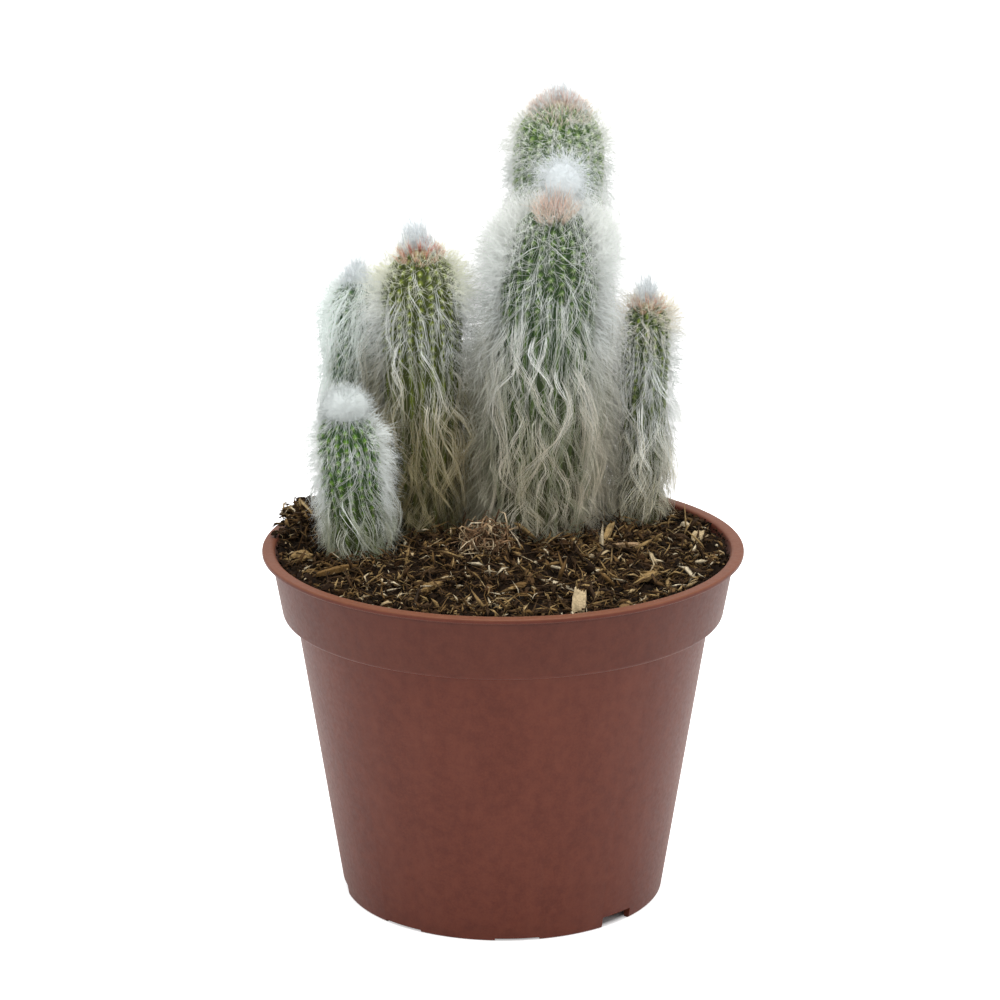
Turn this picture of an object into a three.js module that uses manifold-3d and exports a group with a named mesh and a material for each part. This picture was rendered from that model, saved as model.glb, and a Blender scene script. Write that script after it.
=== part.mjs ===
// Potted old man cactus: six woolly column stems growing in a peat and wood
// fibre mix, in a thin round nursery pot with a notched foot.
// Millimetres, +Z up, front towards -Y, origin at the middle of the pot's foot.

import * as THREE from "three";
import { mergeVertices } from "three/addons/utils/BufferGeometryUtils.js";
import Module from "manifold-3d";

const wasm = await Module();
wasm.setup();

// ---------------------------------------------------------------- dimensions

const GAP = 0.3; // clearance between pieces that touch
const ROUND = 48; // facets round the pot and the potting mix
const SOFT_ROUND = 16; // facets round a coat of hair and a stem's socket

const POT = {
  height: 89.5,
  lipRadius: 60,
  lipThickness: 1.2,
  bandTopRadius: 57.8,
  bandFootRadius: 55,
  bandFoot: 72.8, // height of the step under the rim band
  bodyTopRadius: 51.8,
  footRadius: 40.4,
  footHeight: 3, // how far the floor stands above the table
  footWidth: 1.6,
  wall: 1,
};

// Cut-outs in the foot ring, as angles in degrees from the front, positive to the right.
const NOTCHES = { angles: [44, 158, -81], width: 9.5, height: 2.9 };
const SCALLOPS = { angles: [5, -38, 103, -137], width: 11, height: 0.7 };
const DRAINS = { count: 6, width: 3.6, length: 10, radius: 29 };

const MIX = {
  edgeHeight: 86.3,
  mound: 4.2, // rise towards the middle
  moundSpread: 27,
  heap: { x: -46, y: 17, rise: 4.5, spread: 7 },
  lump: 0.45,
};

const ROOTED = 6; // how deep a stem stands in the mix

// Each stem: where it stands, where its top leans to, the height of its flesh, its radius and
// its ribs. Hair gives the radius of the coat at the mix, at its belly, at the shoulder, at the
// crown and at the woolly tuft, and the height of the tuft's tip.
const STEMS = [
  {
    name: "front", base: [8, 14], top: [12.6, 15.5], height: 172, radius: 11.8, ribs: 20,
    hair: { hem: 13.6, belly: 16.4, shoulder: 15, crown: 8.4, tuft: 5.2, tip: 184.5 },
  },
  {
    name: "left", base: [-19.3, 17.5], top: [-20.6, 18], height: 160.5, radius: 9.8, ribs: 18,
    hair: { hem: 11.6, belly: 13, shoulder: 12.2, crown: 6.8, tuft: 2.8, tip: 168.5 },
  },
  {
    name: "right", base: [34.3, 28], top: [36.2, 25], height: 145.5, radius: 5.9, ribs: 14,
    hair: { hem: 7.6, belly: 9.6, shoulder: 8.2, crown: 4.6, tuft: 1.9, tip: 154 },
  },
  {
    name: "front_left", base: [-35.6, -1], top: [-38.9, -4], height: 125, radius: 7.2, ribs: 14,
    hair: { hem: 9.4, belly: 10.6, shoulder: 8.6, crown: 6.8, tuft: 4.4, tip: 131.8 },
  },
  {
    name: "back", base: [12.6, 38.4], top: [14.2, 38.4], height: 194.5, radius: 11, ribs: 20,
    hair: { hem: 12.4, belly: 13.6, shoulder: 13, crown: 7.6, tuft: 4.6, tip: 199 },
  },
  {
    name: "rear_left", base: [-36.8, 25.5], top: [-36.6, 27.5], height: 151, radius: 6.8, ribs: 14,
    hair: { hem: 8, belly: 9.6, shoulder: 9, crown: 5.6, tuft: 3, tip: 156 },
  },
];

// Loose pieces on the mix: length, width and thickness, a turn about +Z and a tilt, in degrees.
const LOOSE = [
  { name: "wood_chip_front", shape: "chip", at: [18, -48], size: [8, 3.4, 1.1], turn: 80, tilt: 55 },
  { name: "wood_chip_front_left", shape: "chip", at: [-17.5, -33.5], size: [7, 3, 0.9], turn: 25, tilt: 14 },
  { name: "wood_chip_front_middle", shape: "chip", at: [3.5, -33], size: [6, 2.4, 0.9], turn: -35, tilt: 18 },
  { name: "wood_chip_front_right", shape: "chip", at: [35, -25], size: [7.5, 2.6, 1], turn: 40, tilt: 12 },
  { name: "wood_chip_right", shape: "chip", at: [49, 9.5], size: [6.5, 3, 1], turn: 75, tilt: 30 },
  { name: "stick_back", shape: "stick", at: [26.5, 6.5], size: [9, 1.5, 1.2], turn: 72, tilt: 20 },
  { name: "splinter_reddish", shape: "stick", at: [29, -3], size: [11, 1.8, 0.9], turn: -8, tilt: 6 },
  { name: "stick_left", shape: "stick", at: [-41, -20], size: [12, 1.6, 1.3], turn: 22, tilt: 8 },
  { name: "bark_lump_left", shape: "lump", at: [-50, -6], size: [5.5, 4, 3], turn: 10, tilt: 0 },
  { name: "fibre_tangle", shape: "lump", at: [-4.5, -6.5], size: [9, 6.5, 4], turn: 30, tilt: 0 },
  { name: "pale_grain", shape: "grain", at: [46.3, 18.5], size: [2.7, 2.5, 2.4], turn: 0, tilt: 0 },
];

// --------------------------------------------------------------------- looks

const LOOKS = {
  pot: { color: "#704338", roughness: 0.45, metalness: 0 },
  mix: { color: "#2b1d13", roughness: 1, metalness: 0 },
  flesh: { color: "#5c7a41", roughness: 0.6, metalness: 0 },
  hair: { color: "#d9dcd4", roughness: 0.9, metalness: 0 },
  chip: { color: "#a88b62", roughness: 0.85, metalness: 0 },
  stick: { color: "#8f6a41", roughness: 0.85, metalness: 0 },
  lump: { color: "#6b4d2f", roughness: 0.95, metalness: 0 },
  grain: { color: "#d8c8a6", roughness: 0.7, metalness: 0 },
};

// ------------------------------------------------------------------- helpers

const lerp = THREE.MathUtils.lerp;
const radians = THREE.MathUtils.degToRad;

/** Joins vertices that coincide and drops the triangles that this leaves flat. */
function weld(geometry) {
  geometry.deleteAttribute("normal");
  geometry.deleteAttribute("uv");
  const welded = mergeVertices(geometry);
  const index = welded.index.array;
  const kept = [];
  for (let i = 0; i < index.length; i += 3) {
    const [a, b, c] = [index[i], index[i + 1], index[i + 2]];
    if (a !== b && b !== c && c !== a) kept.push(a, b, c);
  }
  return welded.setIndex(kept);
}

/** A closed geometry as a solid that can be cut. */
function toSolid(geometry) {
  const vertProperties = new Float32Array(geometry.attributes.position.array);
  const triVerts = new Uint32Array(geometry.index.array);
  return new wasm.Manifold(new wasm.Mesh({ numProp: 3, vertProperties, triVerts }));
}

/** A solid back as a geometry. */
function toGeometry(solid) {
  const mesh = solid.getMesh();
  const geometry = new THREE.BufferGeometry();
  geometry.setAttribute("position", new THREE.BufferAttribute(mesh.vertProperties, 3));
  geometry.setIndex(new THREE.BufferAttribute(mesh.triVerts, 1));
  return geometry;
}

/** The geometry with each of the tools, all closed geometries, cut out of it. */
function cut(geometry, tools) {
  const solid = tools.reduce((left, tool) => left.subtract(toSolid(tool)), toSolid(geometry));
  return toGeometry(solid);
}

/** Revolves rings of [radius, height] about +Z; the first and last ring lie on the axis. */
function turned(rings, sides) {
  const outline = rings.map(([radius, height]) => new THREE.Vector2(radius, height));
  return weld(new THREE.LatheGeometry(outline, sides).rotateX(Math.PI / 2));
}

/** Moves every vertex with a function that changes the point it is given. */
function warp(geometry, move) {
  const position = geometry.attributes.position;
  const point = new THREE.Vector3();
  for (let i = 0; i < position.count; i += 1) {
    point.fromBufferAttribute(position, i);
    move(point);
    position.setXYZ(i, point.x, point.y, point.z);
  }
  return geometry;
}

/** A named mesh with a material of its own. */
function part(name, geometry, look) {
  geometry.computeVertexNormals();
  const mesh = new THREE.Mesh(geometry, new THREE.MeshStandardMaterial(LOOKS[look]));
  mesh.name = name;
  return mesh;
}

// ----------------------------------------------------------------------- pot

/** Outer radius of the pot's tapered body at a height. */
function bodyRadius(height) {
  return lerp(POT.footRadius, POT.bodyTopRadius, height / POT.bandFoot);
}

/** Outer radius of the rim band at a height. */
function bandRadius(height) {
  const bandTop = POT.height - POT.lipThickness;
  const along = (height - POT.bandFoot) / (bandTop - POT.bandFoot);
  return lerp(POT.bandFootRadius, POT.bandTopRadius, along);
}

/** A block that cuts the foot ring at an angle from the front. */
function footCutter(angle, width, height) {
  const block = weld(new THREE.BoxGeometry(width, 8, 2 * height));
  return block.translate(0, -POT.footRadius, 0).rotateZ(radians(angle));
}

/** A slot through the pot's floor. */
function drainCutter(turn) {
  const slot = weld(new THREE.BoxGeometry(DRAINS.width, DRAINS.length, 4 * POT.footHeight));
  return slot.translate(0, DRAINS.radius, 0).rotateZ(turn);
}

function potGeometry() {
  const { wall, footHeight, bandFoot, height, lipRadius, lipThickness } = POT;
  const floorTop = footHeight + wall;
  const bandTop = height - lipThickness;
  const shelf = bandFoot + wall;
  const edge = 0.4; // rounding of the lip and of the band's lower corner
  const body = turned([
    [0, footHeight],
    [bodyRadius(footHeight) - POT.footWidth, footHeight],
    [bodyRadius(0) - POT.footWidth, 0],
    [bodyRadius(0) - edge, 0],
    [bodyRadius(2), 2],
    [bodyRadius(bandFoot), bandFoot],
    [bandRadius(bandFoot) - 2 * edge, bandFoot],
    [bandRadius(bandFoot + 2 * edge), bandFoot + 2 * edge],
    [bandRadius(bandTop), bandTop],
    [lipRadius - edge, bandTop],
    [lipRadius, bandTop + edge],
    [lipRadius, height - edge],
    [lipRadius - edge, height],
    [bandRadius(bandTop) - wall + edge, height],
    [bandRadius(bandTop) - wall, height - edge],
    [bandRadius(shelf) - wall, shelf],
    [bodyRadius(shelf) - wall, shelf],
    [bodyRadius(floorTop + 2) - wall, floorTop + 2],
    [bodyRadius(floorTop) - wall - 2, floorTop],
    [0, floorTop],
  ], ROUND);
  const cutters = [
    ...NOTCHES.angles.map((angle) => footCutter(angle, NOTCHES.width, NOTCHES.height)),
    ...SCALLOPS.angles.map((angle) => footCutter(angle, SCALLOPS.width, SCALLOPS.height)),
    ...Array.from({ length: DRAINS.count }, (_, i) => drainCutter((2 * Math.PI * i) / DRAINS.count)),
  ];
  return cut(body, cutters);
}

// --------------------------------------------------------------- potting mix

/** A smooth hump of a height and a spread about a place. */
function hump(x, y, centreX, centreY, rise, spread) {
  const distance = Math.hypot(x - centreX, y - centreY) / spread;
  return rise * Math.exp(-0.5 * distance * distance);
}

/** Height of the mix's uneven surface at a place. */
function mixTop(x, y) {
  const mound = hump(x, y, 0, 0, MIX.mound, MIX.moundSpread);
  const heap = hump(x, y, MIX.heap.x, MIX.heap.y, MIX.heap.rise, MIX.heap.spread);
  const lumps = Math.sin(0.42 * x + 1.3) * Math.cos(0.37 * y) + Math.sin(0.21 * x - 0.5 * y);
  return MIX.edgeHeight + mound + heap + MIX.lump * lumps;
}

/** The whole plug of mix that fills the pot, before the stems' sockets are cut. */
function mixPlug() {
  const shelf = POT.bandFoot + POT.wall;
  const inside = POT.wall + GAP;
  const rimHeight = MIX.edgeHeight - 2;
  const topRadius = bandRadius(MIX.edgeHeight) - inside;
  const lowest = POT.footHeight + POT.wall + GAP;
  const topRings = [1, 0.85, 0.7, 0.54, 0.38, 0.2, 0];
  const plug = turned([
    [0, lowest],
    [bodyRadius(lowest) - inside - 2, lowest],
    [bodyRadius(lowest + 2) - inside, lowest + 2],
    [bodyRadius(shelf + GAP) - inside, shelf + GAP],
    [bandRadius(shelf + GAP) - inside, shelf + GAP],
    [bandRadius(rimHeight) - inside, rimHeight],
    ...topRings.map((fraction) => [topRadius * fraction, POT.height]),
  ], ROUND);
  return warp(plug, (point) => {
    if (point.z > rimHeight + 1) point.z = mixTop(point.x, point.y);
  });
}

// --------------------------------------------------------------------- stems

/** Revolves a stem's rings and leans them along its centre line, ribs and all. */
function column(stem, rings, sides, ribDepth = 0) {
  const rib = (angle) => 1 - (ribDepth * (1 - Math.cos(stem.ribs * angle))) / 2;
  return warp(turned(rings, sides), (point) => {
    const along = (point.z - MIX.edgeHeight) / (stem.height - MIX.edgeHeight);
    const scale = rib(Math.atan2(point.x, point.y));
    point.x = point.x * scale + lerp(stem.base[0], stem.top[0], along);
    point.y = point.y * scale + lerp(stem.base[1], stem.top[1], along);
  });
}

/** The fleshy column: a narrow rooted foot, a shaft that swells upwards and a domed top. */
function flesh(stem, sides, ribDepth, radius = stem.radius, extra = 0) {
  const foot = mixTop(...stem.base) - ROOTED - extra;
  const domeFoot = stem.height - 1.2 * stem.radius;
  const shaft = [0.2, 0.45, 0.7, 1].map((t) => {
    const swell = 0.84 + 0.16 * Math.sin(Math.PI * Math.min(0.8 * t, 0.5));
    return [radius * swell, lerp(foot, domeFoot, t)];
  });
  const dome = [24, 48, 72].map((degrees) => {
    const turn = radians(degrees);
    return [radius * Math.cos(turn), domeFoot + (1.2 * stem.radius + extra) * Math.sin(turn)];
  });
  return column(stem, [
    [0, foot],
    [0.6 * radius, foot],
    [0.8 * radius, foot + 3],
    ...shaft,
    ...dome,
    [0, stem.height + extra],
  ], sides, ribDepth);
}

/** The space that a stem needs to itself, all round its ribs. */
function clearance(stem) {
  const radius = (stem.radius + GAP) / Math.cos(Math.PI / SOFT_ROUND);
  return flesh(stem, SOFT_ROUND, 0, radius, GAP);
}

/** The outside of a stem's hair, as one filled column with a woolly tip. */
function hairOutside(stem, extra = 0) {
  const { hem, belly, shoulder, crown, tuft, tip } = stem.hair;
  const hemHeight = MIX.edgeHeight - 1;
  const domeFoot = stem.height - 1.2 * stem.radius;
  const outline = new THREE.SplineCurve([
    new THREE.Vector2(hem, hemHeight),
    new THREE.Vector2(belly, lerp(hemHeight, domeFoot, 0.4)),
    new THREE.Vector2(shoulder, domeFoot),
    new THREE.Vector2(crown, stem.height),
    new THREE.Vector2(tuft, lerp(stem.height, tip, 0.75)),
    new THREE.Vector2(0.5, tip),
  ]);
  const rings = outline.getPoints(9).map((point) => [point.x + extra, point.y + extra]);
  return column(stem, [[0, hemHeight], ...rings, [0, tip + extra]], SOFT_ROUND);
}

/** The coat of hair round a stem, clear of the mix, of every stem and of the coats before it. */
function hairCoat(stem, raisedMix, earlier) {
  const coats = earlier.map((each) => hairOutside(each, GAP));
  return cut(hairOutside(stem), [...STEMS.map(clearance), ...coats, raisedMix]);
}

// -------------------------------------------------------------- loose pieces

const LOOSE_SHAPES = {
  /** A flat flake with blunt ends. */
  chip([length, width, thickness]) {
    const outline = new THREE.Shape([
      new THREE.Vector2(-0.5 * length, -0.1 * width),
      new THREE.Vector2(-0.25 * length, -0.45 * width),
      new THREE.Vector2(0.3 * length, -0.5 * width),
      new THREE.Vector2(0.5 * length, 0),
      new THREE.Vector2(0.25 * length, 0.5 * width),
      new THREE.Vector2(-0.3 * length, 0.4 * width),
    ]);
    const flake = new THREE.ExtrudeGeometry(outline, { depth: thickness, bevelEnabled: false });
    return flake.translate(0, 0, -thickness / 2);
  },
  /** A split stick, thinner at its ends. */
  stick([length, width, thickness]) {
    const stick = new THREE.CylinderGeometry(0.5, 0.5, length, 7, 4).rotateZ(Math.PI / 2);
    return warp(stick, (point) => {
      const taper = 1 - 0.6 * Math.abs((2 * point.x) / length) ** 2;
      point.y *= width * taper;
      point.z *= thickness * taper;
    });
  },
  /** An uneven crumb. */
  lump([length, width, thickness]) {
    const lump = new THREE.IcosahedronGeometry(0.5, 1);
    return warp(lump, (point) => {
      const bumps = 0.06 * Math.sin(9 * point.x + 2) * Math.cos(11 * point.y) * Math.cos(7 * point.z);
      point.multiplyScalar(1 + 2 * bumps).multiply(new THREE.Vector3(length, width, thickness));
    });
  },
  /** A small round grain. */
  grain([length, width, thickness]) {
    return new THREE.SphereGeometry(0.5, 8, 6).scale(length, width, thickness);
  },
};

/** A loose piece bedded on the mix, with its underside following the surface. */
function loosePiece(piece, raisedMix) {
  const geometry = weld(LOOSE_SHAPES[piece.shape](piece.size));
  const mesh = part(piece.name, geometry, piece.shape);
  const [x, y] = piece.at;
  const [length, , thickness] = piece.size;
  const tilt = radians(piece.tilt);
  const lift = 0.35 * (length * Math.sin(tilt) + thickness * Math.cos(tilt)) + GAP;
  mesh.position.set(x, y, mixTop(x, y) + lift);
  mesh.rotation.set(0, -tilt, radians(piece.turn), "ZYX");
  mesh.updateMatrixWorld();
  const bed = raisedMix.clone().applyMatrix4(mesh.matrixWorld.clone().invert());
  mesh.geometry = cut(geometry, [bed]);
  mesh.geometry.computeVertexNormals();
  return mesh;
}

// ------------------------------------------------------------------ assembly

const plug = mixPlug();
const raisedMix = plug.clone().translate(0, 0, GAP);

const cactus = new THREE.Group();
cactus.name = "potted_old_man_cactus";
cactus.add(part("pot", potGeometry(), "pot"));
cactus.add(part("potting_mix", cut(plug, STEMS.map(clearance)), "mix"));

STEMS.forEach((stem, i) => {
  const plant = new THREE.Group();
  const [x, y] = stem.base;
  plant.position.set(x, y, 0);
  const body = flesh(stem, 2 * stem.ribs, 0.09).translate(-x, -y, 0);
  const coat = hairCoat(stem, raisedMix, STEMS.slice(0, i)).translate(-x, -y, 0);
  plant.add(part(`stem_${stem.name}`, body, "flesh"));
  plant.add(part(`hair_${stem.name}`, coat, "hair"));
  cactus.add(plant);
});

for (const piece of LOOSE) cactus.add(loosePiece(piece, raisedMix));

export default cactus;
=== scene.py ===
"""Potted old man cactus: the finish of every surface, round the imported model.

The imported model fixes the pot, the potting mix, six stems, their coats of hair and the loose
pieces lying on the mix. Each plain solid is replaced here by a finished piece: a turned pot
with a notched foot, a bed of crumbs and wood fibre, ribbed stems with bristles, coats of long
silky hair, woolly tufts and reddish crown spines. Sizes are in metres, +Z up, front to -Y.
Turns round +Z are in radians from the front, positive to the right.
"""

import logging
import math
from collections.abc import Iterable, Sequence
from dataclasses import dataclass, field, replace
from enum import Enum

import bmesh
import bpy
import numpy as np
from bmesh.types import BMFace, BMLayerItem, BMVert, BMesh
from bpy.types import ID, Material, Mesh, Node, NodeSocket, NodeTree, Object
from mathutils import Matrix, Vector, noise
from mathutils.bvhtree import BVHTree


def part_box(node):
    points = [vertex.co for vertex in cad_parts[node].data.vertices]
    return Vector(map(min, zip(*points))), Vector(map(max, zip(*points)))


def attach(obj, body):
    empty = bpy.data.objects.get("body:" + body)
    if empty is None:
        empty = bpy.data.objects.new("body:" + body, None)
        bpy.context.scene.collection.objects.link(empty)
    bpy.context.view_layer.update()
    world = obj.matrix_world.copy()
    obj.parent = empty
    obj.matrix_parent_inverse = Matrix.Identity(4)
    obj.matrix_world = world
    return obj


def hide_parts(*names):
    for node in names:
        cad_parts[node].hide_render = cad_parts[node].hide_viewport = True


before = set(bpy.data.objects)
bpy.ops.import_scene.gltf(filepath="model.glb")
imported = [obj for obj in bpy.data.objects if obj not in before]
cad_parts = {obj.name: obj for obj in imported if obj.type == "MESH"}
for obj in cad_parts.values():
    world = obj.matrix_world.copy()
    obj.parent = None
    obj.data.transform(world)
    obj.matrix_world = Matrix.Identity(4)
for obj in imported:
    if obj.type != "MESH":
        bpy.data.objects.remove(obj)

LOG = logging.getLogger("cactus")
MM = 0.001
DOWN = np.array([0.0, 0.0, -1.0])
BODY = "root"
WELD = 1e-6  # how close two vertices are to be made one
SEAM = 1e-7  # the same on the seam of a turned solid

Colour = tuple[float, float, float, float]
Wire = NodeSocket | float | Sequence[float]
Array = np.ndarray
Values = Array | float


# ---- small helpers


def rgb(red: int, green: int, blue: int) -> Colour:
    """A colour given as 0 to 255 on a screen, as linear light.

    Args:
        red: Its red part.
        green: Its green part.
        blue: Its blue part.

    Returns:
        Red, green and blue from 0 to 1, and an alpha of 1.
    """

    def linear(part: int) -> float:
        """One part from 0 to 255 as linear light."""
        value = part / 255
        return value / 12.92 if value <= 0.04045 else ((value + 0.055) / 1.055) ** 2.4

    return linear(red), linear(green), linear(blue), 1.0


BLACK = rgb(0, 0, 0)
WHITE = rgb(255, 255, 255)


def lerp(low: Values, high: Values, along: Values) -> Array:
    """The value a share of the way from low to high."""
    return low + (high - low) * np.asarray(along)


def past(value: Values, start: float, span: float) -> Array:
    """How far a value has gone past a start, as a share of a span, held from 0 to 1."""
    return np.clip((value - start) / span, 0, 1)


def held(value: float) -> float:
    """A number held from 0 to 1."""
    return min(1.0, max(0.0, value))


def facing(turn: Array) -> Array:
    """The level directions that point out at turns, with xyz last."""
    return np.stack([np.sin(turn), -np.cos(turn), np.zeros_like(turn)], -1)


def unit(vectors: Array) -> Array:
    """The same vectors, one unit long."""
    return vectors / np.maximum(np.linalg.norm(vectors, axis=-1, keepdims=True), 1e-12)


def link(name: str, data: ID) -> Object:
    """Puts an object in the scene.

    Args:
        name: Its name.
        data: What it is made of.

    Returns:
        The object.
    """
    made = bpy.data.objects.new(name, data)
    bpy.context.scene.collection.objects.link(made)
    return made


def show(name: str, mesh: Mesh, material: Material,
         replaces: Sequence[str] = ()) -> None:
    """Makes a mesh a piece of the cactus, riding on the one body.

    Args:
        name: The piece's name.
        mesh: Its mesh, already in place.
        material: Its finish.
        replaces: The solids that it stands for.
    """
    mesh.materials.clear()
    mesh.materials.append(material)
    piece = link(name, mesh)
    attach(piece, BODY)
    for node in replaces:
        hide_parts(node)
    mesh.calc_loop_triangles()
    LOG.info("%s: %d triangles", name, len(mesh.loop_triangles))


def to_mesh(bm: BMesh, name: str, crease: float | None = None) -> Mesh:
    """Ends a bmesh as a smooth-shaded mesh.

    Args:
        bm: The bmesh, which is freed.
        name: The mesh's name.
        crease: The angle in degrees past which an edge stays sharp, if any does.

    Returns:
        The mesh.
    """
    for face in bm.faces:
        face.smooth = True
    if crease is not None:
        limit = math.radians(crease)
        for edge in bm.edges:
            edge.smooth = edge.calc_face_angle(0.0) < limit
    mesh = bpy.data.meshes.new(name)
    bm.to_mesh(mesh)
    bm.free()
    return mesh


def carry(bm: BMesh, name: str, value: float) -> None:
    """Makes every vertex carry the same number.

    Args:
        bm: The vertices' bmesh.
        name: What the number is called.
        value: The number.
    """
    layer = bm.verts.layers.float.new(name)
    for vert in bm.verts:
        vert[layer] = value


def turned(profile: Sequence[tuple[float, float]], steps: int) -> BMesh:
    """Spins an outline into a solid.

    Args:
        profile: The outline's (radius, height) points, which start and end on the axis.
        steps: How many facets the solid has round the axis.

    Returns:
        The solid.
    """
    bm = bmesh.new()
    verts = [bm.verts.new((radius, 0.0, height)) for radius, height in profile]
    edges = [bm.edges.new(pair) for pair in zip(verts, verts[1:])]
    bmesh.ops.spin(bm, geom=verts + edges, cent=(0, 0, 0), axis=(0, 0, 1),
                   angle=math.tau, steps=steps, use_merge=True)
    bmesh.ops.remove_doubles(bm, verts=bm.verts, dist=SEAM)
    bmesh.ops.recalc_face_normals(bm, faces=bm.faces)
    return bm


def rounded(corner: tuple[float, float], before: tuple[float, float], after: tuple[float, float],
            radius: float, steps: int = 4) -> list[tuple[float, float]]:
    """Points that round a corner of an outline.

    Args:
        corner: The corner.
        before: The point that the outline comes from.
        after: The point that it goes to.
        radius: How far from the corner the rounding starts.
        steps: How many stretches it has.

    Returns:
        The points, from the side of before to the side of after.
    """
    middle = Vector(corner)
    start = middle + (Vector(before) - middle).normalized() * radius
    end = middle + (Vector(after) - middle).normalized() * radius
    shares = [i / steps for i in range(steps + 1)]
    return [tuple((1 - t) ** 2 * start + 2 * t * (1 - t) * middle + t * t * end) for t in shares]


# ---- material nodes


@dataclass
class Bench:
    """A node tree being wired up, for a material, a world or a shared group."""

    tree: NodeTree

    def add(self, kind: str, inputs: dict[str | int, Wire] | None = None, **settings) -> Node:
        """Adds a node.

        Args:
            kind: The node's type, without its Shader Node prefix.
            inputs: What each input gets: a socket to wire it to, or a value.
            settings: The node's own settings.

        Returns:
            The node.
        """
        node = self.tree.nodes.new("ShaderNode" + kind)
        for key, value in settings.items():
            setattr(node, key, value)
        self.feed(node, inputs or {})
        return node

    def feed(self, node: Node, inputs: dict[str | int, Wire]) -> None:
        """Wires or sets inputs of a node.

        Args:
            node: The node.
            inputs: What each input gets: a socket to wire it to, or a value to set on it.
        """
        for key, value in inputs.items():
            if isinstance(value, NodeSocket):
                self.tree.links.new(value, node.inputs[key])
            else:
                node.inputs[key].default_value = value

    def place(self) -> NodeSocket:
        """The piece's own coordinates, in metres."""
        return self.add("TexCoord").outputs["Object"]

    def value_of(self, attribute: str) -> NodeSocket:
        """A number that the mesh carries under this name."""
        return self.add("Attribute", attribute_name=attribute).outputs["Fac"]

    def noise(self, size: float, detail: float = 2.0, rough: float = 0.5,
              place: NodeSocket | None = None) -> NodeSocket:
        """A soft random value.

        Args:
            size: About how large its blotches are, in metres.
            detail: How many finer scales it has.
            rough: How strong those are.
            place: The coordinates that it follows, if not the piece's own.

        Returns:
            The value, from 0 to 1.
        """
        texture = self.add("TexNoise", {"Vector": place or self.place(), "Scale": 1 / size,
                                        "Detail": detail, "Roughness": rough})
        return texture.outputs["Fac"]

    def spread(self, value: Wire, low: float, high: float, out_low: float = 0.0,
               out_high: float = 1.0) -> NodeSocket:
        """A value stretched from one range to another, and held inside it.

        Args:
            value: The value.
            low: Where its range starts.
            high: Where its range ends.
            out_low: Where the new range starts.
            out_high: Where the new range ends.

        Returns:
            The stretched value.
        """
        node = self.add("MapRange", {"Value": value, "From Min": low, "From Max": high,
                                     "To Min": out_low, "To Max": out_high})
        return node.outputs["Result"]

    def mix(self, share: Wire, first: Wire, second: Wire) -> NodeSocket:
        """The colour a share of the way from a first one to a second."""
        return self.add("Mix", {0: share, 6: first, 7: second}, data_type="RGBA").outputs[2]

    def sum(self, kind: str, first: Wire, second: Wire) -> NodeSocket:
        """Arithmetic on two values, by the name of the operation."""
        return self.add("Math", {0: first, 1: second}, operation=kind).outputs[0]

    def ramp(self, value: Wire, stops: Sequence[tuple[float, Colour]]) -> NodeSocket:
        """A colour read off a row of colour stops.

        Args:
            value: Where it is read.
            stops: The place from 0 to 1 and the colour of each stop, in order.

        Returns:
            The colour.
        """
        node = self.add("ValToRGB", {"Fac": value})
        stretch = node.color_ramp.elements
        while len(stretch) < len(stops):
            stretch.new(0.5)
        for stop, (position, colour) in zip(stretch, stops):
            stop.position = position
            stop.color = colour
        return node.outputs["Color"]

    def bump(self, height: Wire, strength: float, depth: float) -> NodeSocket:
        """A normal roughened by a height."""
        node = self.add("Bump", {"Height": height, "Strength": strength, "Distance": depth})
        return node.outputs["Normal"]


def mottle_group() -> NodeTree:
    """The shared mottle: two colours blotched together at a coarse and a fine scale.

    Returns:
        The node group, made at the first call.
    """
    name = "mottle"
    if name in bpy.data.node_groups:
        return bpy.data.node_groups[name]
    tree = bpy.data.node_groups.new(name, "ShaderNodeTree")
    for label in ("Light", "Dark"):
        tree.interface.new_socket(label, in_out="INPUT", socket_type="NodeSocketColor")
    for label in ("Size", "Share"):
        tree.interface.new_socket(label, in_out="INPUT", socket_type="NodeSocketFloat")
    tree.interface.new_socket("Colour", in_out="OUTPUT", socket_type="NodeSocketColor")
    tree.interface.new_socket("Height", in_out="OUTPUT", socket_type="NodeSocketFloat")
    bench = Bench(tree)
    given = tree.nodes.new("NodeGroupInput").outputs
    scale = bench.sum("DIVIDE", 1.0, given["Size"])
    coarse = bench.add("TexNoise", {"Vector": bench.place(), "Scale": scale, "Detail": 3.0})
    fine_scale = bench.sum("MULTIPLY", scale, 5.3)
    fine = bench.add("TexNoise", {"Vector": bench.place(), "Scale": fine_scale, "Detail": 2.0})
    both = bench.sum("ADD", bench.sum("MULTIPLY", coarse.outputs["Fac"], 0.6),
                     bench.sum("MULTIPLY", fine.outputs["Fac"], 0.4))
    contrast = bench.sum("MULTIPLY", bench.spread(both, 0.36, 0.64), given["Share"])
    colour = bench.mix(contrast, given["Light"], given["Dark"])
    bench.feed(tree.nodes.new("NodeGroupOutput"), {"Colour": colour, "Height": both})
    return tree


def mottle(bench: Bench, light: Wire, dark: Wire, size: float, share: float = 1.0) -> NodeSocket:
    """Places the shared mottle.

    Args:
        bench: Where it goes.
        light: The lighter colour.
        dark: The darker colour.
        size: The size of its blotches in metres.
        share: How strong the darker colour is at most.

    Returns:
        The mottled colour.
    """
    node = bench.tree.nodes.new("ShaderNodeGroup")
    node.node_tree = mottle_group()
    bench.feed(node, {"Light": light, "Dark": dark, "Size": size, "Share": share})
    return node.outputs["Colour"]


# ---- finishes


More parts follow.
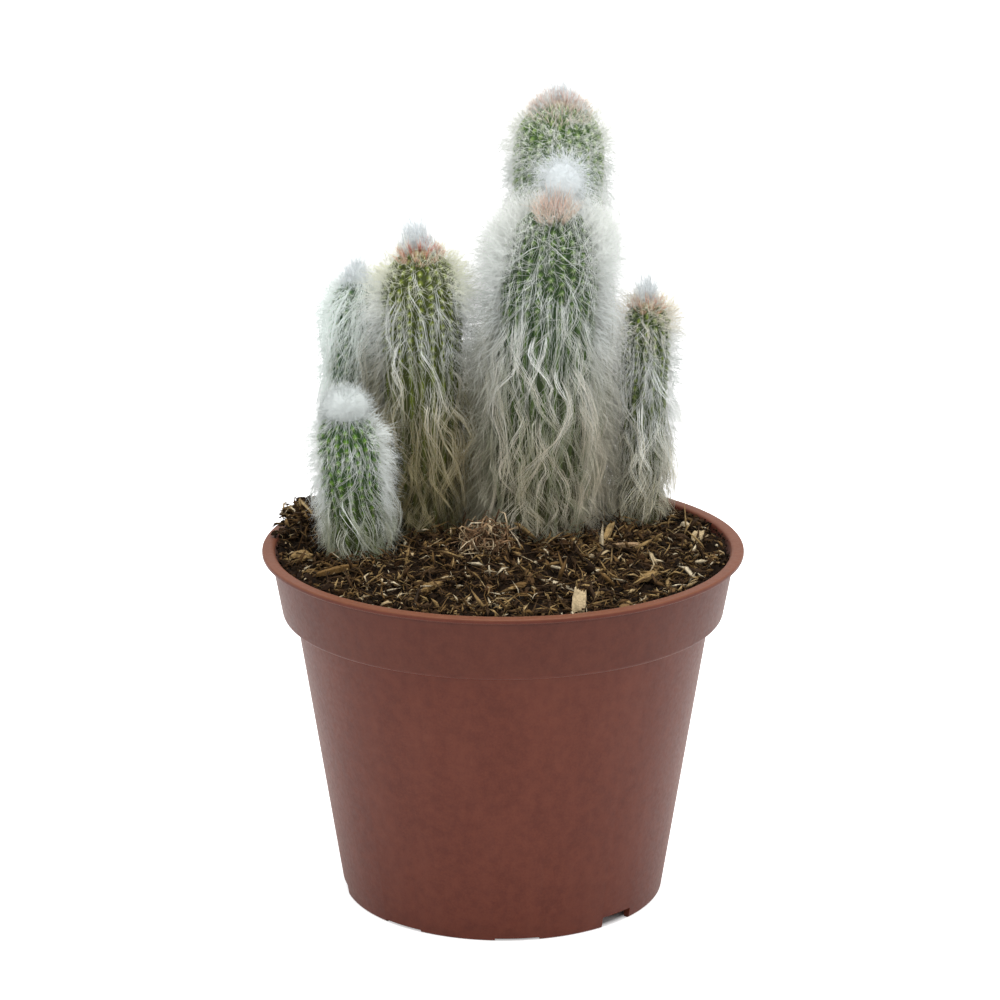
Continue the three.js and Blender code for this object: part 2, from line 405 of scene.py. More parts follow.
@dataclass(frozen=True)
class Finish:
    """A material around one Principled shader. Each kind of finish has its colours and its wiring."""

    name: str

    def wire(self, bench: Bench) -> dict[str, Wire]:
        """What each of the shader's inputs gets: what varies is wired, what doesn't is set."""
        raise NotImplementedError

    def make(self) -> Material:
        """Makes the material.

        Returns:
            The material.
        """
        made = bpy.data.materials.new(self.name)
        made.use_nodes = True
        made.node_tree.nodes.clear()
        bench = Bench(made.node_tree)
        shader = bench.add("BsdfPrincipled", self.wire(bench))
        bench.add("OutputMaterial", {"Surface": shader.outputs["BSDF"]})
        return made


@dataclass(frozen=True)
class PotPlastic(Finish):
    """Thin terracotta-brown moulded plastic, with a fine mottle and a dull sheen."""

    name: str = "pot_plastic"
    light: Colour = rgb(102, 47, 31)
    dark: Colour = rgb(84, 34, 21)
    pale: Colour = rgb(118, 63, 46)
    # the painted highlight colour on the lip's top
    rim: Colour = rgb(146, 96, 68)
    # the painted shade colour for the band and the corner under the lip
    deep: Colour = rgb(46, 18, 10)
    roughness: tuple[float, float] = (0.38, 0.5)
    rim_height: float = 89.5 * MM

    def wire(self, bench: Bench) -> dict[str, Wire]:
        """The plastic's mottle and scuffs, a painted highlight on its lip and painted shade under it.

        Args:
            bench: The material's nodes.

        Returns:
            What each of the shader's inputs gets.
        """
        blotches = mottle(bench, self.light, self.dark, 2.6 * MM, 0.75)
        stretched = bench.add("Mapping", {"Vector": bench.place(), "Scale": (1, 1, 0.22)})
        flow = bench.noise(9 * MM, 4, 0.6, stretched.outputs["Vector"])
        colour = bench.mix(bench.spread(flow, 0.45, 0.75, 0, 0.3), blotches, self.pale)
        height = bench.add("SeparateXYZ", {0: bench.place()}).outputs["Z"]
        # painted highlight: the lip's top edge is lightened towards the rim colour, as if lit from
        # above
        thin = bench.spread(height, self.rim_height - 0.55 * MM, self.rim_height - 0.1 * MM, 0, 0.42)
        lip_highlighted = bench.mix(thin, colour, self.rim)
        # painted shade: the band under the lip is darkened a little, and more just under the lip
        low, foot, top = (self.rim_height - fall * MM for fall in (17, 2.6, 1.3))
        band = bench.spread(height, low, low + 1 * MM, 0, 0.2)
        corner = bench.spread(height, foot, top, 0, 0.45)
        under = bench.sum("LESS_THAN", height, top + 0.05 * MM)
        shade = bench.sum("MULTIPLY", bench.sum("ADD", band, corner), under)
        scuffs = bench.noise(1.1 * MM, 3, 0.65)
        return {"Base Color": bench.mix(shade, lip_highlighted, self.deep),
                "Roughness": bench.spread(scuffs, 0.35, 0.7, *self.roughness),
                "Specular IOR Level": 0.26,
                "Sheen Weight": 0.16, "Sheen Tint": (1.0, 0.66, 0.55, 1.0), "Sheen Roughness": 0.35,
                "Normal": bench.bump(scuffs, 0.18, 0.12 * MM)}


@dataclass(frozen=True)
class Peat(Finish):
    """Dark moist peat with lighter crumbs, by the tint that each part of it carries."""

    name: str = "peat"
    light: Colour = rgb(62, 43, 25)
    dark: Colour = rgb(12, 8, 4)
    stops: tuple = ((0.0, rgb(7, 5, 3)), (0.4, rgb(38, 25, 14)), (0.7, rgb(86, 60, 36)),
                    (1.0, rgb(158, 124, 84)))

    def wire(self, bench: Bench) -> dict[str, Wire]:
        """The peat's colours and grain.

        Args:
            bench: The material's nodes.

        Returns:
            What each of the shader's inputs gets.
        """
        tinted = bench.ramp(bench.value_of("tint"), self.stops)
        grain = bench.noise(0.5 * MM, 4, 0.7)
        return {"Base Color": bench.mix(0.65, mottle(bench, self.light, self.dark, 1.6 * MM), tinted),
                "Roughness": 0.93, "Specular IOR Level": 0.15,
                "Normal": bench.bump(grain, 0.7, 0.35 * MM)}


@dataclass(frozen=True)
class Wood(Finish):
    """Dry split wood, from dark wet fibre to pale chips, by the tint that each piece carries."""

    name: str = "wood"
    stops: tuple = ((0.0, rgb(30, 19, 10)), (0.28, rgb(76, 54, 28)), (0.52, rgb(130, 100, 56)),
                    (0.78, rgb(192, 162, 110)), (1.0, rgb(240, 224, 190)))
    streak: Colour = rgb(74, 50, 26)
    dirt: Colour = rgb(34, 22, 12)

    def wire(self, bench: Bench) -> dict[str, Wire]:
        """The wood's tint, its streaks and the dirt on it.

        Args:
            bench: The material's nodes.

        Returns:
            What each of the shader's inputs gets.
        """
        base = bench.ramp(bench.value_of("tint"), self.stops)
        streaks = bench.noise(0.5 * MM, 4, 0.75)
        patches = bench.noise(2.4 * MM, 3, 0.65)
        streaked = bench.mix(bench.spread(streaks, 0.38, 0.68, 0, 0.5), base, self.streak)
        return {"Base Color": bench.mix(bench.spread(patches, 0.5, 0.68, 0, 0.6), streaked, self.dirt),
                "Roughness": 0.82, "Specular IOR Level": 0.25,
                "Normal": bench.bump(streaks, 0.6, 0.2 * MM)}


@dataclass(frozen=True)
class Flesh(Finish):
    """A stem's waxy green skin: grooves darker and bumps paler, partly painted shade and highlight;
    woolly areoles.
    """

    groove: Colour
    ridge: Colour
    crown: Colour
    corky: Colour = rgb(92, 82, 58)
    areole: Colour = rgb(214, 214, 190)

    def wire(self, bench: Bench) -> dict[str, Wire]:
        """The skin's greens, its areoles and its corky foot.

        Args:
            bench: The material's nodes.

        Returns:
            What each of the shader's inputs gets.
        """
        height = bench.value_of("ridge")
        blotches = mottle(bench, self.ridge, self.groove, 1.6 * MM, 0.5)
        # darker in the grooves, paler on ridges and bumps: partly the skin's own tone, partly painted
        # shade and highlight
        green = bench.mix(bench.spread(height, 0.25, 0.85), self.groove, blotches)
        aged = bench.mix(bench.spread(bench.value_of("age"), 0.35, 1.0, 0, 0.75), green, self.corky)
        dotted = bench.mix(bench.spread(bench.value_of("areole"), 0.55, 0.85), aged, self.areole)
        pores = bench.noise(0.35 * MM, 3, 0.6)
        return {"Base Color": bench.mix(bench.value_of("young"), dotted, self.crown),
                "Roughness": 0.55, "Specular IOR Level": 0.35,
                "Normal": bench.bump(pores, 0.35, 0.12 * MM)}


@dataclass(frozen=True)
class Hair(Finish):
    """Silky hair: white where it is young, greyer and browner low down and towards its roots."""

    young: Colour = rgb(238, 242, 240)
    old: Colour = rgb(218, 211, 192)
    stain: Colour = rgb(166, 151, 122)
    # the darker tone that the tint draws hair towards: random darker tone and painted shade
    deep: Colour = rgb(122, 118, 92)
    cream: Colour = rgb(238, 230, 200)

    def wire(self, bench: Bench) -> dict[str, Wire]:
        """The hair's ageing, its soft sheen, painted shade by its tint and a painted glow for light
        passing through it.

        Args:
            bench: The material's nodes.

        Returns:
            What each of the shader's inputs gets.
        """
        age = bench.value_of("age")
        tint = bench.value_of("tint")
        aged = bench.mix(bench.spread(age, 0.12, 0.85), self.young, self.old)
        patches = bench.noise(6 * MM, 2)
        dirty = bench.sum("MULTIPLY", bench.spread(age, 0.45, 1.0), bench.spread(patches, 0.3, 0.7))
        stained = bench.mix(bench.sum("MULTIPLY", dirty, 0.75), aged, self.stain)
        # darker towards the deep tone by the tint: partly random tone, partly painted shade where
        # other stems hem the hair in
        strength = bench.sum("MULTIPLY", tint, bench.spread(age, 0, 0.6, 0.35, 0.8))
        shaded = bench.mix(strength, stained, self.deep)
        colour = bench.mix(bench.value_of("cream"), shaded, self.cream)
        return {"Base Color": colour, "Roughness": 0.55, "Specular IOR Level": 0.4,
                "Sheen Weight": 0.25, "Sheen Roughness": 0.4,
                # painted glow: emission that stands in for light passing through the hair
                "Emission Color": bench.mix(bench.value_of("glow"), BLACK, colour),
                "Emission Strength": 0.3}


@dataclass(frozen=True)
class Spine(Finish):
    """Fine spines, coloured from root to tip and paler away from the stem's tip."""

    root: Colour
    tip: Colour
    outer: Colour
    pale: Colour = rgb(232, 224, 206)

    def wire(self, bench: Bench) -> dict[str, Wire]:
        """The spines' colour along their length and from one to the next.

        Args:
            bench: The material's nodes.

        Returns:
            What each of the shader's inputs gets.
        """
        inner = bench.mix(bench.spread(bench.value_of("along"), 0.0, 0.9), self.root, self.tip)
        base = bench.mix(bench.spread(bench.value_of("outer"), 0.35, 0.8), inner, self.outer)
        paler = bench.spread(bench.value_of("tint"), 0, 1, 0, 0.4)
        return {"Base Color": bench.mix(paler, base, self.pale),
                "Roughness": 0.6, "Specular IOR Level": 0.3}


@dataclass(frozen=True)
class Wool(Finish):
    """Dense white wool at the stem tips."""

    name: str = "wool"
    light: Colour = rgb(238, 243, 245)
    shade: Colour = rgb(224, 230, 231)
    # the painted shade grey for wool that glows little
    dull: Colour = rgb(204, 210, 206)

    def wire(self, bench: Bench) -> dict[str, Wire]:
        """The wool's faint mottle, its felted surface, painted shade where it glows little and its
        painted glow.

        Args:
            bench: The material's nodes.

        Returns:
            What each of the shader's inputs gets.
        """
        glow = bench.value_of("glow")
        blotches = mottle(bench, self.light, self.shade, 1.5 * MM, 0.6)
        # painted shade: wool with little glow is greyed towards the dull colour
        colour = bench.mix(bench.spread(glow, 0, 0.35), self.dull, blotches)
        felt = bench.noise(0.45 * MM, 4, 0.7)
        return {"Base Color": colour, "Roughness": 0.95, "Specular IOR Level": 0.1,
                "Sheen Weight": 0.4,
                # painted glow: emission that stands in for light passing through the wool
                "Emission Color": bench.mix(glow, BLACK, colour), "Emission Strength": 0.35,
                "Normal": bench.bump(felt, 0.12, 0.15 * MM)}


# ---- strands


@dataclass
class Strands:
    """Many thin strands that become one mesh, each a closed tube with few sides and a pointed tip.

    Attributes:
        paths: Points along each strand, as (strand, step, xyz) in metres.
        widths: The strand's radius at each point, as (strand, step).
        values: Numbers that the mesh carries, each as (strand, step) or (strand,).
        sides: How many sides a strand has.
        flatness: A strand's thickness as a share of its width.
        pointed: True if the root is drawn to a point too.
    """

    paths: Array
    widths: Array
    values: dict[str, Array] = field(default_factory=dict)
    sides: int = 3
    flatness: float = 1.0
    pointed: bool = True

    def corners(self) -> Array:
        """Sets the strands' corners out round their paths.

        Returns:
            The corner points, as (strand, step, side, xyz).
        """
        heading = unit(np.gradient(self.paths, axis=1))
        rng = np.random.default_rng(5)
        wander = rng.normal(0, 0.15, (len(self.paths), 3))
        across = np.cross(heading[:, 0], heading[:, -1] + wander)[:, None, :]
        across = unit(across - (across * heading).sum(-1, keepdims=True) * heading)
        upward = np.cross(heading, across)
        turns = math.tau * np.arange(self.sides) / self.sides
        reach = self.widths[..., None, None]
        wide = np.cos(turns)[:, None] * across[:, :, None, :]
        thick = self.flatness * np.sin(turns)[:, None] * upward[:, :, None, :]
        return self.paths[:, :, None, :] + reach * (wide + thick)

    def mesh(self, name: str) -> Mesh:
        """Grows all the strands together, one extrusion for each step.

        Args:
            name: The mesh's name.

        Returns:
            The mesh, carrying the values.
        """
        corners = self.corners()
        count, steps = self.widths.shape
        spread = {key: np.broadcast_to(v[:, None] if v.ndim == 1 else v, (count, steps))
                  for key, v in self.values.items()}
        first = 1 if self.pointed else 0
        bm = bmesh.new()
        layers = {key: bm.verts.layers.float.new(key) for key in spread}
        side_of = bm.verts.layers.int.new("side")
        strand_of = bm.faces.layers.int.new("strand")
        for number, ring in enumerate(corners[:, first]):
            root = bm.faces.new([bm.verts.new(corner) for corner in ring])
            root[strand_of] = number
            for side, vert in enumerate(root.verts):
                vert[side_of] = side
                for key, layer in layers.items():
                    vert[layer] = spread[key][number, first]
        caps = bm.faces[:]
        for step in range(first + 1, steps - 1):
            caps = bmesh.ops.extrude_discrete_faces(bm, faces=caps)["faces"]
            ring_at = corners[:, step].tolist()
            value_at = {key: values[:, step].tolist() for key, values in spread.items()}
            for cap in caps:
                number = cap[strand_of]
                ring = ring_at[number]
                for vert in cap.verts:
                    vert.co = ring[vert[side_of]]
                    for key, layer in layers.items():
                        vert[layer] = value_at[key][number]
        self.point(bm, caps, -1, layers, strand_of)
        edges = [edge for edge in bm.edges if edge.is_boundary]
        roots = bmesh.ops.holes_fill(bm, edges=edges, sides=self.sides)["faces"]
        if self.pointed:
            for root in roots:
                root[strand_of] = max(face[strand_of] for face in root.edges[0].link_faces)
            self.point(bm, roots, 0, layers, strand_of)
        bm.verts.layers.int.remove(side_of)
        bm.faces.layers.int.remove(strand_of)
        return to_mesh(bm, name)

    def point(self, bm: BMesh, ends: list[BMFace], step: int,
              layers: dict[str, BMLayerItem], strand_of: BMLayerItem) -> None:
        """Draws the end faces of the strands out to points.

        Args:
            bm: The strands.
            ends: Their end faces.
            step: The step of the path where the points lie.
            layers: The layers that carry the values.
            strand_of: The layer that says which strand a face belongs to.
        """
        places = self.paths[:, step].tolist()
        for tip in bmesh.ops.poke(bm, faces=ends)["verts"]:
            number = tip.link_faces[0][strand_of]
            tip.co = places[number]
            for key, layer in layers.items():
                value = self.values[key][number]
                tip[layer] = float(value if np.ndim(value) == 0 else value[step])


def shortened(paths: Array, trim: Array) -> Array:
    """Cuts strands short, with their points spaced evenly again.

    Args:
        paths: The strands' points, as (strand, step, xyz).
        trim: What share of its length each keeps.

    Returns:
        The new points.
    """
    last = paths.shape[1] - 1
    wanted = trim[:, None] * np.linspace(0, last, last + 1)[None, :]
    low = np.minimum(wanted.astype(int), last - 1)
    part = (wanted - low)[..., None]
    rows = np.arange(len(paths))[:, None]
    return paths[rows, low] * (1 - part) + paths[rows, low + 1] * part


def scatter(name: str, shapes: Sequence[Mesh],
            copies: Iterable[tuple[int, Matrix, float]]) -> Mesh:
    """Joins many placed copies of a few small shapes in one mesh.

    Args:
        name: The mesh's name.
        shapes: The small shapes.
        copies: For each copy, which shape it is, where it goes and the tint that it carries.

    Returns:
        The mesh.
    """
    bm = bmesh.new()
    tint = bm.verts.layers.float.new("tint")
    done = 0
    for which, place, shade in copies:
        bm.from_mesh(shapes[which])
        bm.verts.ensure_lookup_table()
        for vert in bm.verts[done:]:
            vert.co = place @ vert.co
            vert[tint] = shade
        done = len(bm.verts)
    return to_mesh(bm, name, crease=35)


# ---- pot


@dataclass
class Pot:
    """The thin moulded pot: lip, rim band, stepped body and notched foot ring."""

    facets: int = 180
    wall: float = 1.0 * MM
    lip_reach: float = 2.2 * MM
    lip_thickness: float = 1.2 * MM
    band_depth: float = 16.7 * MM
    band_flare: float = 2.8 * MM
    step: float = 3.2 * MM
    foot_radius: float = 40.4 * MM
    foot_height: float = 3.0 * MM
    foot_width: float = 1.6 * MM
    notches: tuple[float, ...] = (44, 158, -81)  # where they are, in degrees
    notch_size: tuple[float, float] = (9.5 * MM, 2.9 * MM)  # width and height
    scallops: tuple[float, ...] = (5, -38, 103, -137)
    scallop_size: tuple[float, float] = (11.0 * MM, 0.7 * MM)
    cut_depth: float = 8 * MM
    drains: int = 6
    drain_size: tuple[float, float, float] = (3.6 * MM, 10 * MM, 12 * MM)
    drain_radius: float = 29 * MM

    def outline(self) -> list[tuple[float, float]]:
        """The pot's section, as (radius, height) points.

        Returns:
            The points, from the middle of its underside round to the middle of its floor.
        """
        _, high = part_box("pot")
        top, lip = high.z, high.x
        band_top = lip - self.lip_reach
        under_lip = top - self.lip_thickness
        band_foot = under_lip - self.band_depth + self.lip_thickness
        band_low = band_top - self.band_flare
        body_top = band_low - self.step
        taper = (body_top - self.foot_radius) / band_foot
        wall, floor = self.wall, self.foot_height + self.wall

        def body(height: float) -> float:
            """The body's outer radius at a height."""
            return self.foot_radius + taper * height

        shelf = band_foot + wall
        band_slope = self.band_flare / self.band_depth
        # each corner, and from how far in millimetres it is rounded
        corners = [
            ((0.0, self.foot_height), 0.0),
            ((body(0) - self.foot_width, self.foot_height), 0.4),
            ((body(0) - self.foot_width, 0.0), 0.25),
            ((body(0), 0.0), 0.7),
            ((body(band_foot), band_foot), 0.5),
            ((band_low, band_foot), 0.9),
            ((band_top, under_lip), 0.35),
            ((lip, under_lip), 0.45),
            ((lip, top), 0.5),
            ((band_top - wall, top), 0.9),
            ((band_low + band_slope * wall - wall, shelf), 0.6),
            ((body(shelf) - wall, shelf), 0.4),
            ((body(floor) - wall, floor), 1.5),
            ((0.0, floor), 0.0),
        ]
        points = [corners[0][0]]
        for (before, _), (corner, radius), (after, _) in zip(corners, corners[1:], corners[2:]):
            points += rounded(corner, before, after, radius * MM)
        return points + [corners[-1][0]]

    def cutters(self) -> Mesh:
        """The blocks that cut the foot ring and the floor.

        Returns:
            The blocks, as one mesh.
        """
        bm = bmesh.new()
        blocks = []
        cuts = ((self.notches, self.notch_size), (self.scallops, self.scallop_size))
        for angles, (width, height) in cuts:
            size = (width, self.cut_depth, 2 * height)
            blocks += [(math.radians(angle), -self.foot_radius, size) for angle in angles]
        for i in range(self.drains):
            blocks.append((math.tau * i / self.drains, self.drain_radius, self.drain_size))
        for turn, reach, size in blocks:
            place = Matrix.Rotation(turn, 4, "Z") @ Matrix.Translation((0, reach, 0))
            bmesh.ops.create_cube(bm, size=1.0, matrix=place @ Matrix.Diagonal((*size, 1)))
        mesh = bpy.data.meshes.new("foot_cutters")
        bm.to_mesh(mesh)
        bm.free()
        return mesh

    def build(self) -> Mesh:
        """Turns the pot and then cuts its foot and its floor.

        Returns:
            The pot's mesh.
        """
        mesh = to_mesh(turned(self.outline(), self.facets), "pot_turned")
        blank = link("pot_blank", mesh)
        tool = link("foot_tool", self.cutters())
        cut = blank.modifiers.new("cut", "BOOLEAN")
        cut.object = tool
        cut.operation = "DIFFERENCE"
        cut.solver = "EXACT"
        graph = bpy.context.evaluated_depsgraph_get()
        bm = bmesh.new()
        bm.from_mesh(blank.evaluated_get(graph).to_mesh())
        for helper in (blank, tool):
            bpy.data.objects.remove(helper)
        bmesh.ops.remove_doubles(bm, verts=bm.verts, dist=WELD)
        return to_mesh(bm, "pot_shell", crease=38)

    def dress(self) -> None:
        """Shows the pot in its plastic."""
        finish = PotPlastic(rim_height=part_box("pot")[1].z)
        show("pot_shell", self.build(), finish.make(), ["pot"])


# ---- potting mix


@dataclass
class PottingMix:
    """The bed of peat: a lumpy plug, strewn with crumbs, splinters, fibres and flakes."""

    facets: int = 200
    rings: int = 56
    lump: float = 1.7 * MM
    crumbs: int = 4400
    lumps: int = 800
    fibres: int = 1900
    slivers: int = 5600
    flakes: int = 600
    rim_crumbs: int = 500
    foot: tuple[float, float] = (39 * MM, 1 * MM)  # the bed's radius at its foot, and its bevel there
    ledge: tuple = ((49.5 * MM, 74 * MM), (53.2 * MM, 74.4 * MM))  # where it rests on the pot's step
    spilt: tuple[float, float] = (-134, -92)  # where the mix is heaped over the lip, in degrees
    heap: float = 1.8 * MM  # how high it is heaped there
    crumb_shapes: int = 6  # how many shapes the small crumbs have, and the large ones
    flake_shapes: int = 6
    seed: int = 11

    def __post_init__(self) -> None:
        """Reads the mix's solid and where its surface lies, and starts its random draws."""
        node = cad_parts["potting_mix"]
        bm = bmesh.new()
        bm.from_mesh(node.data)
        bmesh.ops.remove_doubles(bm, verts=bm.verts, dist=WELD)
        self.surface = BVHTree.FromBMesh(bm)
        bm.free()
        _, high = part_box("potting_mix")
        self.highest = high.z
        self.radius = high.x
        self.rng = np.random.default_rng(self.seed)

    def plain_height(self, x: float, y: float) -> float:
        """The solid's own surface at a place, bridged over the stems' sockets.

        Args:
            x: How far to the right the place is.
            y: How far back it is.

        Returns:
            The height.
        """
        inward = min(1.0, (self.radius - 0.8 * MM) / max(math.hypot(x, y), WELD))
        hit, *_ = self.surface.ray_cast(Vector((x * inward, y * inward, 0.2)), Vector((0, 0, -1)))
        if hit is None or hit.z < self.highest - 7.5 * MM:
            return self.highest - 3 * MM
        return hit.z

    def pit(self, spot: Vector) -> float:
        """How deep a crevice is at a place on the surface."""
        return max(0.0, noise.noise(spot / (4.6 * MM) + Vector((1, 8, 2))) - 0.06)

    def height(self, x: float, y: float) -> float:
        """The lumpy surface's height at a place.

        Args:
            x: How far to the right the place is.
            y: How far back it is.

        Returns:
            The height.
        """
        spot = Vector((x, y, 0.0))
        reach = math.hypot(x, y)
        coarse = noise.noise(spot / (6.5 * MM))
        middle = noise.noise(spot / (2.8 * MM) + Vector((9, 4, 1)))
        fine = noise.noise(spot / (1.2 * MM) + Vector((3, 7, 5)))
        lumps = 0.85 * coarse + 0.75 * middle + 0.4 * fine - 3.2 * self.pit(spot)
        turn = math.degrees(math.atan2(x, -y))
        share = (turn - self.spilt[0]) / (self.spilt[1] - self.spilt[0])
        heap = math.sin(math.pi * held(share)) ** 0.7
        near_rim = held((reach - 44 * MM) / (10 * MM))
        rim = held((reach - 50 * MM) / (7 * MM))
        dip = max(0.0, noise.noise(spot / (8 * MM) + Vector((4, 4, 7)))) * (1 - heap)
        raised = self.heap * heap * near_rim + (2.3 - 6 * dip) * MM * rim
        lumps *= 1 - 0.6 * rim
        return self.plain_height(x, y) + self.lump * lumps + raised - 0.2 * MM

    def bed(self) -> Mesh:
        """The plug that the crumbs lie on: turned level, then lowered to the lumpy surface.

        Returns:
            The plug's mesh, carrying its tint.
        """
        low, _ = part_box("potting_mix")
        foot, bevel = self.foot
        shares = [1 - (i / self.rings) ** 1.15 for i in range(self.rings + 1)]
        outline = [(0.0, low.z), (foot, low.z + bevel), *self.ledge,
                   (self.radius - 1.2 * MM, self.highest - 8 * MM)]
        level = self.highest + 10 * MM
        outline += [((self.radius - 0.4 * MM) * share, level) for share in shares]
        bm = turned(outline, self.facets)
        tint = bm.verts.layers.float.new("tint")
        for vert in bm.verts:
            if vert.co.z > level - 1 * MM:
                vert.co.z = self.height(vert.co.x, vert.co.y)
            spot = vert.co / (2.4 * MM)
            vert[tint] = 0.13 + 0.4 * noise.noise(spot)
        return to_mesh(bm, "peat_bed")

    def places(self, count: int, reach: float = 1.0, heaped: float = 0.05) -> list[Vector]:
        """Random places on the surface, few of them in its crevices.

        Args:
            count: How many at most.
            reach: How far out they go, as a share of the radius.
            heaped: What share of them lies in the heap over the lip.

        Returns:
            The places, each on the lumpy surface.
        """
        rng = self.rng
        radii = (self.radius - 0.9 * MM) * reach * np.sqrt(rng.uniform(0, 1, count))
        turns = rng.uniform(-math.pi, math.pi, count)
        over = rng.uniform(0, 1, count) < heaped
        low, high = (math.radians(turn) for turn in self.spilt)
        turns[over] = low + (high - low) * rng.beta(2, 2, over.sum())
        radii[over] = self.radius + rng.uniform(-5, 2.0, over.sum()) * MM
        _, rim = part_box("pot")
        spots = []
        draws = rng.uniform(0, 1, count)
        for x, y, outside, draw in zip(radii * np.sin(turns), -radii * np.cos(turns), over, draws):
            if draw < 3.2 * self.pit(Vector((x, y, 0.0))):
                continue
            height = self.height(x, y)
            if outside:
                height = max(height, rim.z + rng.uniform(0, 0.6) * MM)
            spots.append(Vector((x, y, height)))
        return spots

    def uneven(self) -> list[Mesh]:
        """The shapes of the crumbs: first the small ones, with the fewest faces, then the large ones.

        Returns:
            The shapes, each about a unit in radius.
        """
        shapes = []
        for number in range(2 * self.crumb_shapes):
            bm = bmesh.new()
            if number < self.crumb_shapes:
                bmesh.ops.create_uvsphere(bm, u_segments=4, v_segments=2, radius=1.0)
            else:
                bmesh.ops.create_icosphere(bm, subdivisions=1, radius=1.0)
            for vert in bm.verts:
                vert.co *= 1 + 0.6 * noise.noise(vert.co * 1.3 + Vector((number * 7.1, 0, 0)))
            shapes.append(to_mesh(bm, f"crumb_{number}"))
        return shapes

    def crumb_mesh(self) -> Mesh:
        """The crumbs of peat: small and large ones all over, and more along the rim.

        Returns:
            The mesh, carrying its tint.
        """
        rng = self.rng
        small = [(spot, 0, rng.uniform(0.16, 0.55) * MM)
                 for spot in self.places(self.crumbs, heaped=0.1)]
        large = [(spot, self.crumb_shapes, rng.uniform(0.5, 1.5) * MM)
                 for spot in self.places(self.lumps, heaped=0.12)]
        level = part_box("pot")[1].z
        for turn in rng.uniform(-math.pi, math.pi, self.rim_crumbs):
            reach = self.radius + rng.uniform(-1.6, 0.4) * MM
            x, y = reach * math.sin(turn), -reach * math.cos(turn)
            height = min(level - rng.uniform(0.3, 1.4) * MM, self.height(x, y) + 0.5 * MM)
            small.append((Vector((x, y, height)), 0, rng.uniform(0.25, 0.7) * MM))
        copies = []
        for spot, first, size in small + large:
            stretch = Matrix.Diagonal((*(size * rng.uniform(0.55, 1.35, 3)), 1))
            turn = Matrix.Rotation(rng.uniform(0, math.tau), 4, Vector(rng.normal(0, 1, 3)))
            lift = Matrix.Translation(spot + Vector((0, 0, size * rng.uniform(-0.2, 0.6))))
            shade = float(rng.beta(1.3, 2.2))
            which = first + int(rng.integers(self.crumb_shapes))
            copies.append((which, lift @ turn @ stretch, shade))
        return scatter("peat_crumbs", self.uneven(), copies)

    def flat(self) -> list[Mesh]:
        """The shapes of the flakes: thin six-sided plates, narrower on top.

        Returns:
            The shapes, each about a unit in radius.
        """
        rng = self.rng
        shapes = []
        for number in range(self.flake_shapes):
            bm = bmesh.new()
            made = bmesh.ops.create_circle(bm, cap_ends=True, radius=1.0, segments=6)
            for vert in made["verts"]:
                vert.co.x *= 1 + 0.5 * rng.uniform(-1, 1)
                vert.co.y *= 0.5 + 0.25 * rng.uniform(-1, 1)
            grown = bmesh.ops.extrude_face_region(bm, geom=bm.faces[:])
            for vert in (v for v in grown["geom"] if isinstance(v, BMVert)):
                top = 0.26 + 0.12 * rng.uniform(-1, 1)
                vert.co = Vector((vert.co.x * 0.86, vert.co.y * 0.8, top))
            bmesh.ops.recalc_face_normals(bm, faces=bm.faces)
            shapes.append(to_mesh(bm, f"flake_{number}"))
        return shapes

    def flake_mesh(self) -> Mesh:
        """The small flat flakes of wood and bark.

        Returns:
            The mesh, carrying its tint.
        """
        rng = self.rng
        shapes = self.flat()
        copies = []
        for spot in self.places(self.flakes, 0.99):
            size = (0.3 + 0.6 * rng.uniform() ** 2) * MM
            stretch = Matrix.Diagonal((size * rng.uniform(1.2, 3.0), size, size, 1))
            roll = Matrix.Rotation(rng.normal(0, 0.7), 4, "X")
            tilt = roll @ Matrix.Rotation(rng.normal(0, 0.55), 4, "Y")
            turn = Matrix.Rotation(rng.uniform(0, math.tau), 4, "Z")
            lift = Matrix.Translation(spot + Vector((0, 0, 0.45 * MM)))
            which = int(rng.integers(self.flake_shapes))
            shade = held(float(rng.normal(0.5, 0.32)))
            copies.append((which, lift @ turn @ tilt @ stretch, shade))
        return scatter("wood_flakes", shapes, copies)

    def strewn(self, count: int, steps: int) -> Strands:
        """Thin wood fibres and splinters that lie every way over the peat.

        Args:
            count: How many there are.
            steps: How many points each has.

        Returns:
            The fibres.
        """
        rng = self.rng
        places = np.array(self.places(count, 0.985))
        count = len(places)
        turns = rng.uniform(0, math.tau, count)
        tilts = rng.normal(0, 0.42, count)
        near_rim = np.hypot(places[:, 0], places[:, 1]) > self.radius - 4 * MM
        steep = (rng.uniform(0, 1, count) < 0.12) & ~near_rim
        tilts[steep] = rng.uniform(0.5, 1.3, steep.sum())
        level = np.cos(tilts)
        heading = np.stack([np.cos(turns) * level, np.sin(turns) * level, np.sin(tilts)], -1)
        length = np.clip(rng.lognormal(math.log(4.1), 0.5, count), 1.3, 10) * MM
        length = np.where(near_rim, np.minimum(length, 4.5 * MM), length)
        along = np.linspace(-0.5, 0.5, steps)
        bend = rng.normal(0, 0.08, (count, 2)) * length[:, None]
        side = np.stack([-np.sin(turns), np.cos(turns), np.zeros(count)], -1)
        arch = (1 - (2 * along) ** 2)[None, :, None]
        twist = (np.sin(math.tau * along))[None, :, None]
        paths = places[:, None, :] + (heading * length[:, None])[:, None, :] * along[None, :, None]
        paths = paths + side[:, None, :] * (bend[:, :1, None] * arch + 0.5 * bend[:, 1:, None] * twist)
        lift = rng.uniform(0.1, 1.9, count)[:, None] * MM
        paths[..., 2] += lift + np.abs(bend[:, 1:]) * arch[..., 0]
        sink = np.minimum(paths[..., 2].min(1) - places[:, 2] + 0.5 * MM, 0)
        paths[..., 2] -= sink[:, None] * 0.8
        reach = np.hypot(paths[..., 0], paths[..., 1])
        rim = self.radius + np.where(paths[..., 2] > self.highest - 1 * MM, 2.4, -0.9) * MM
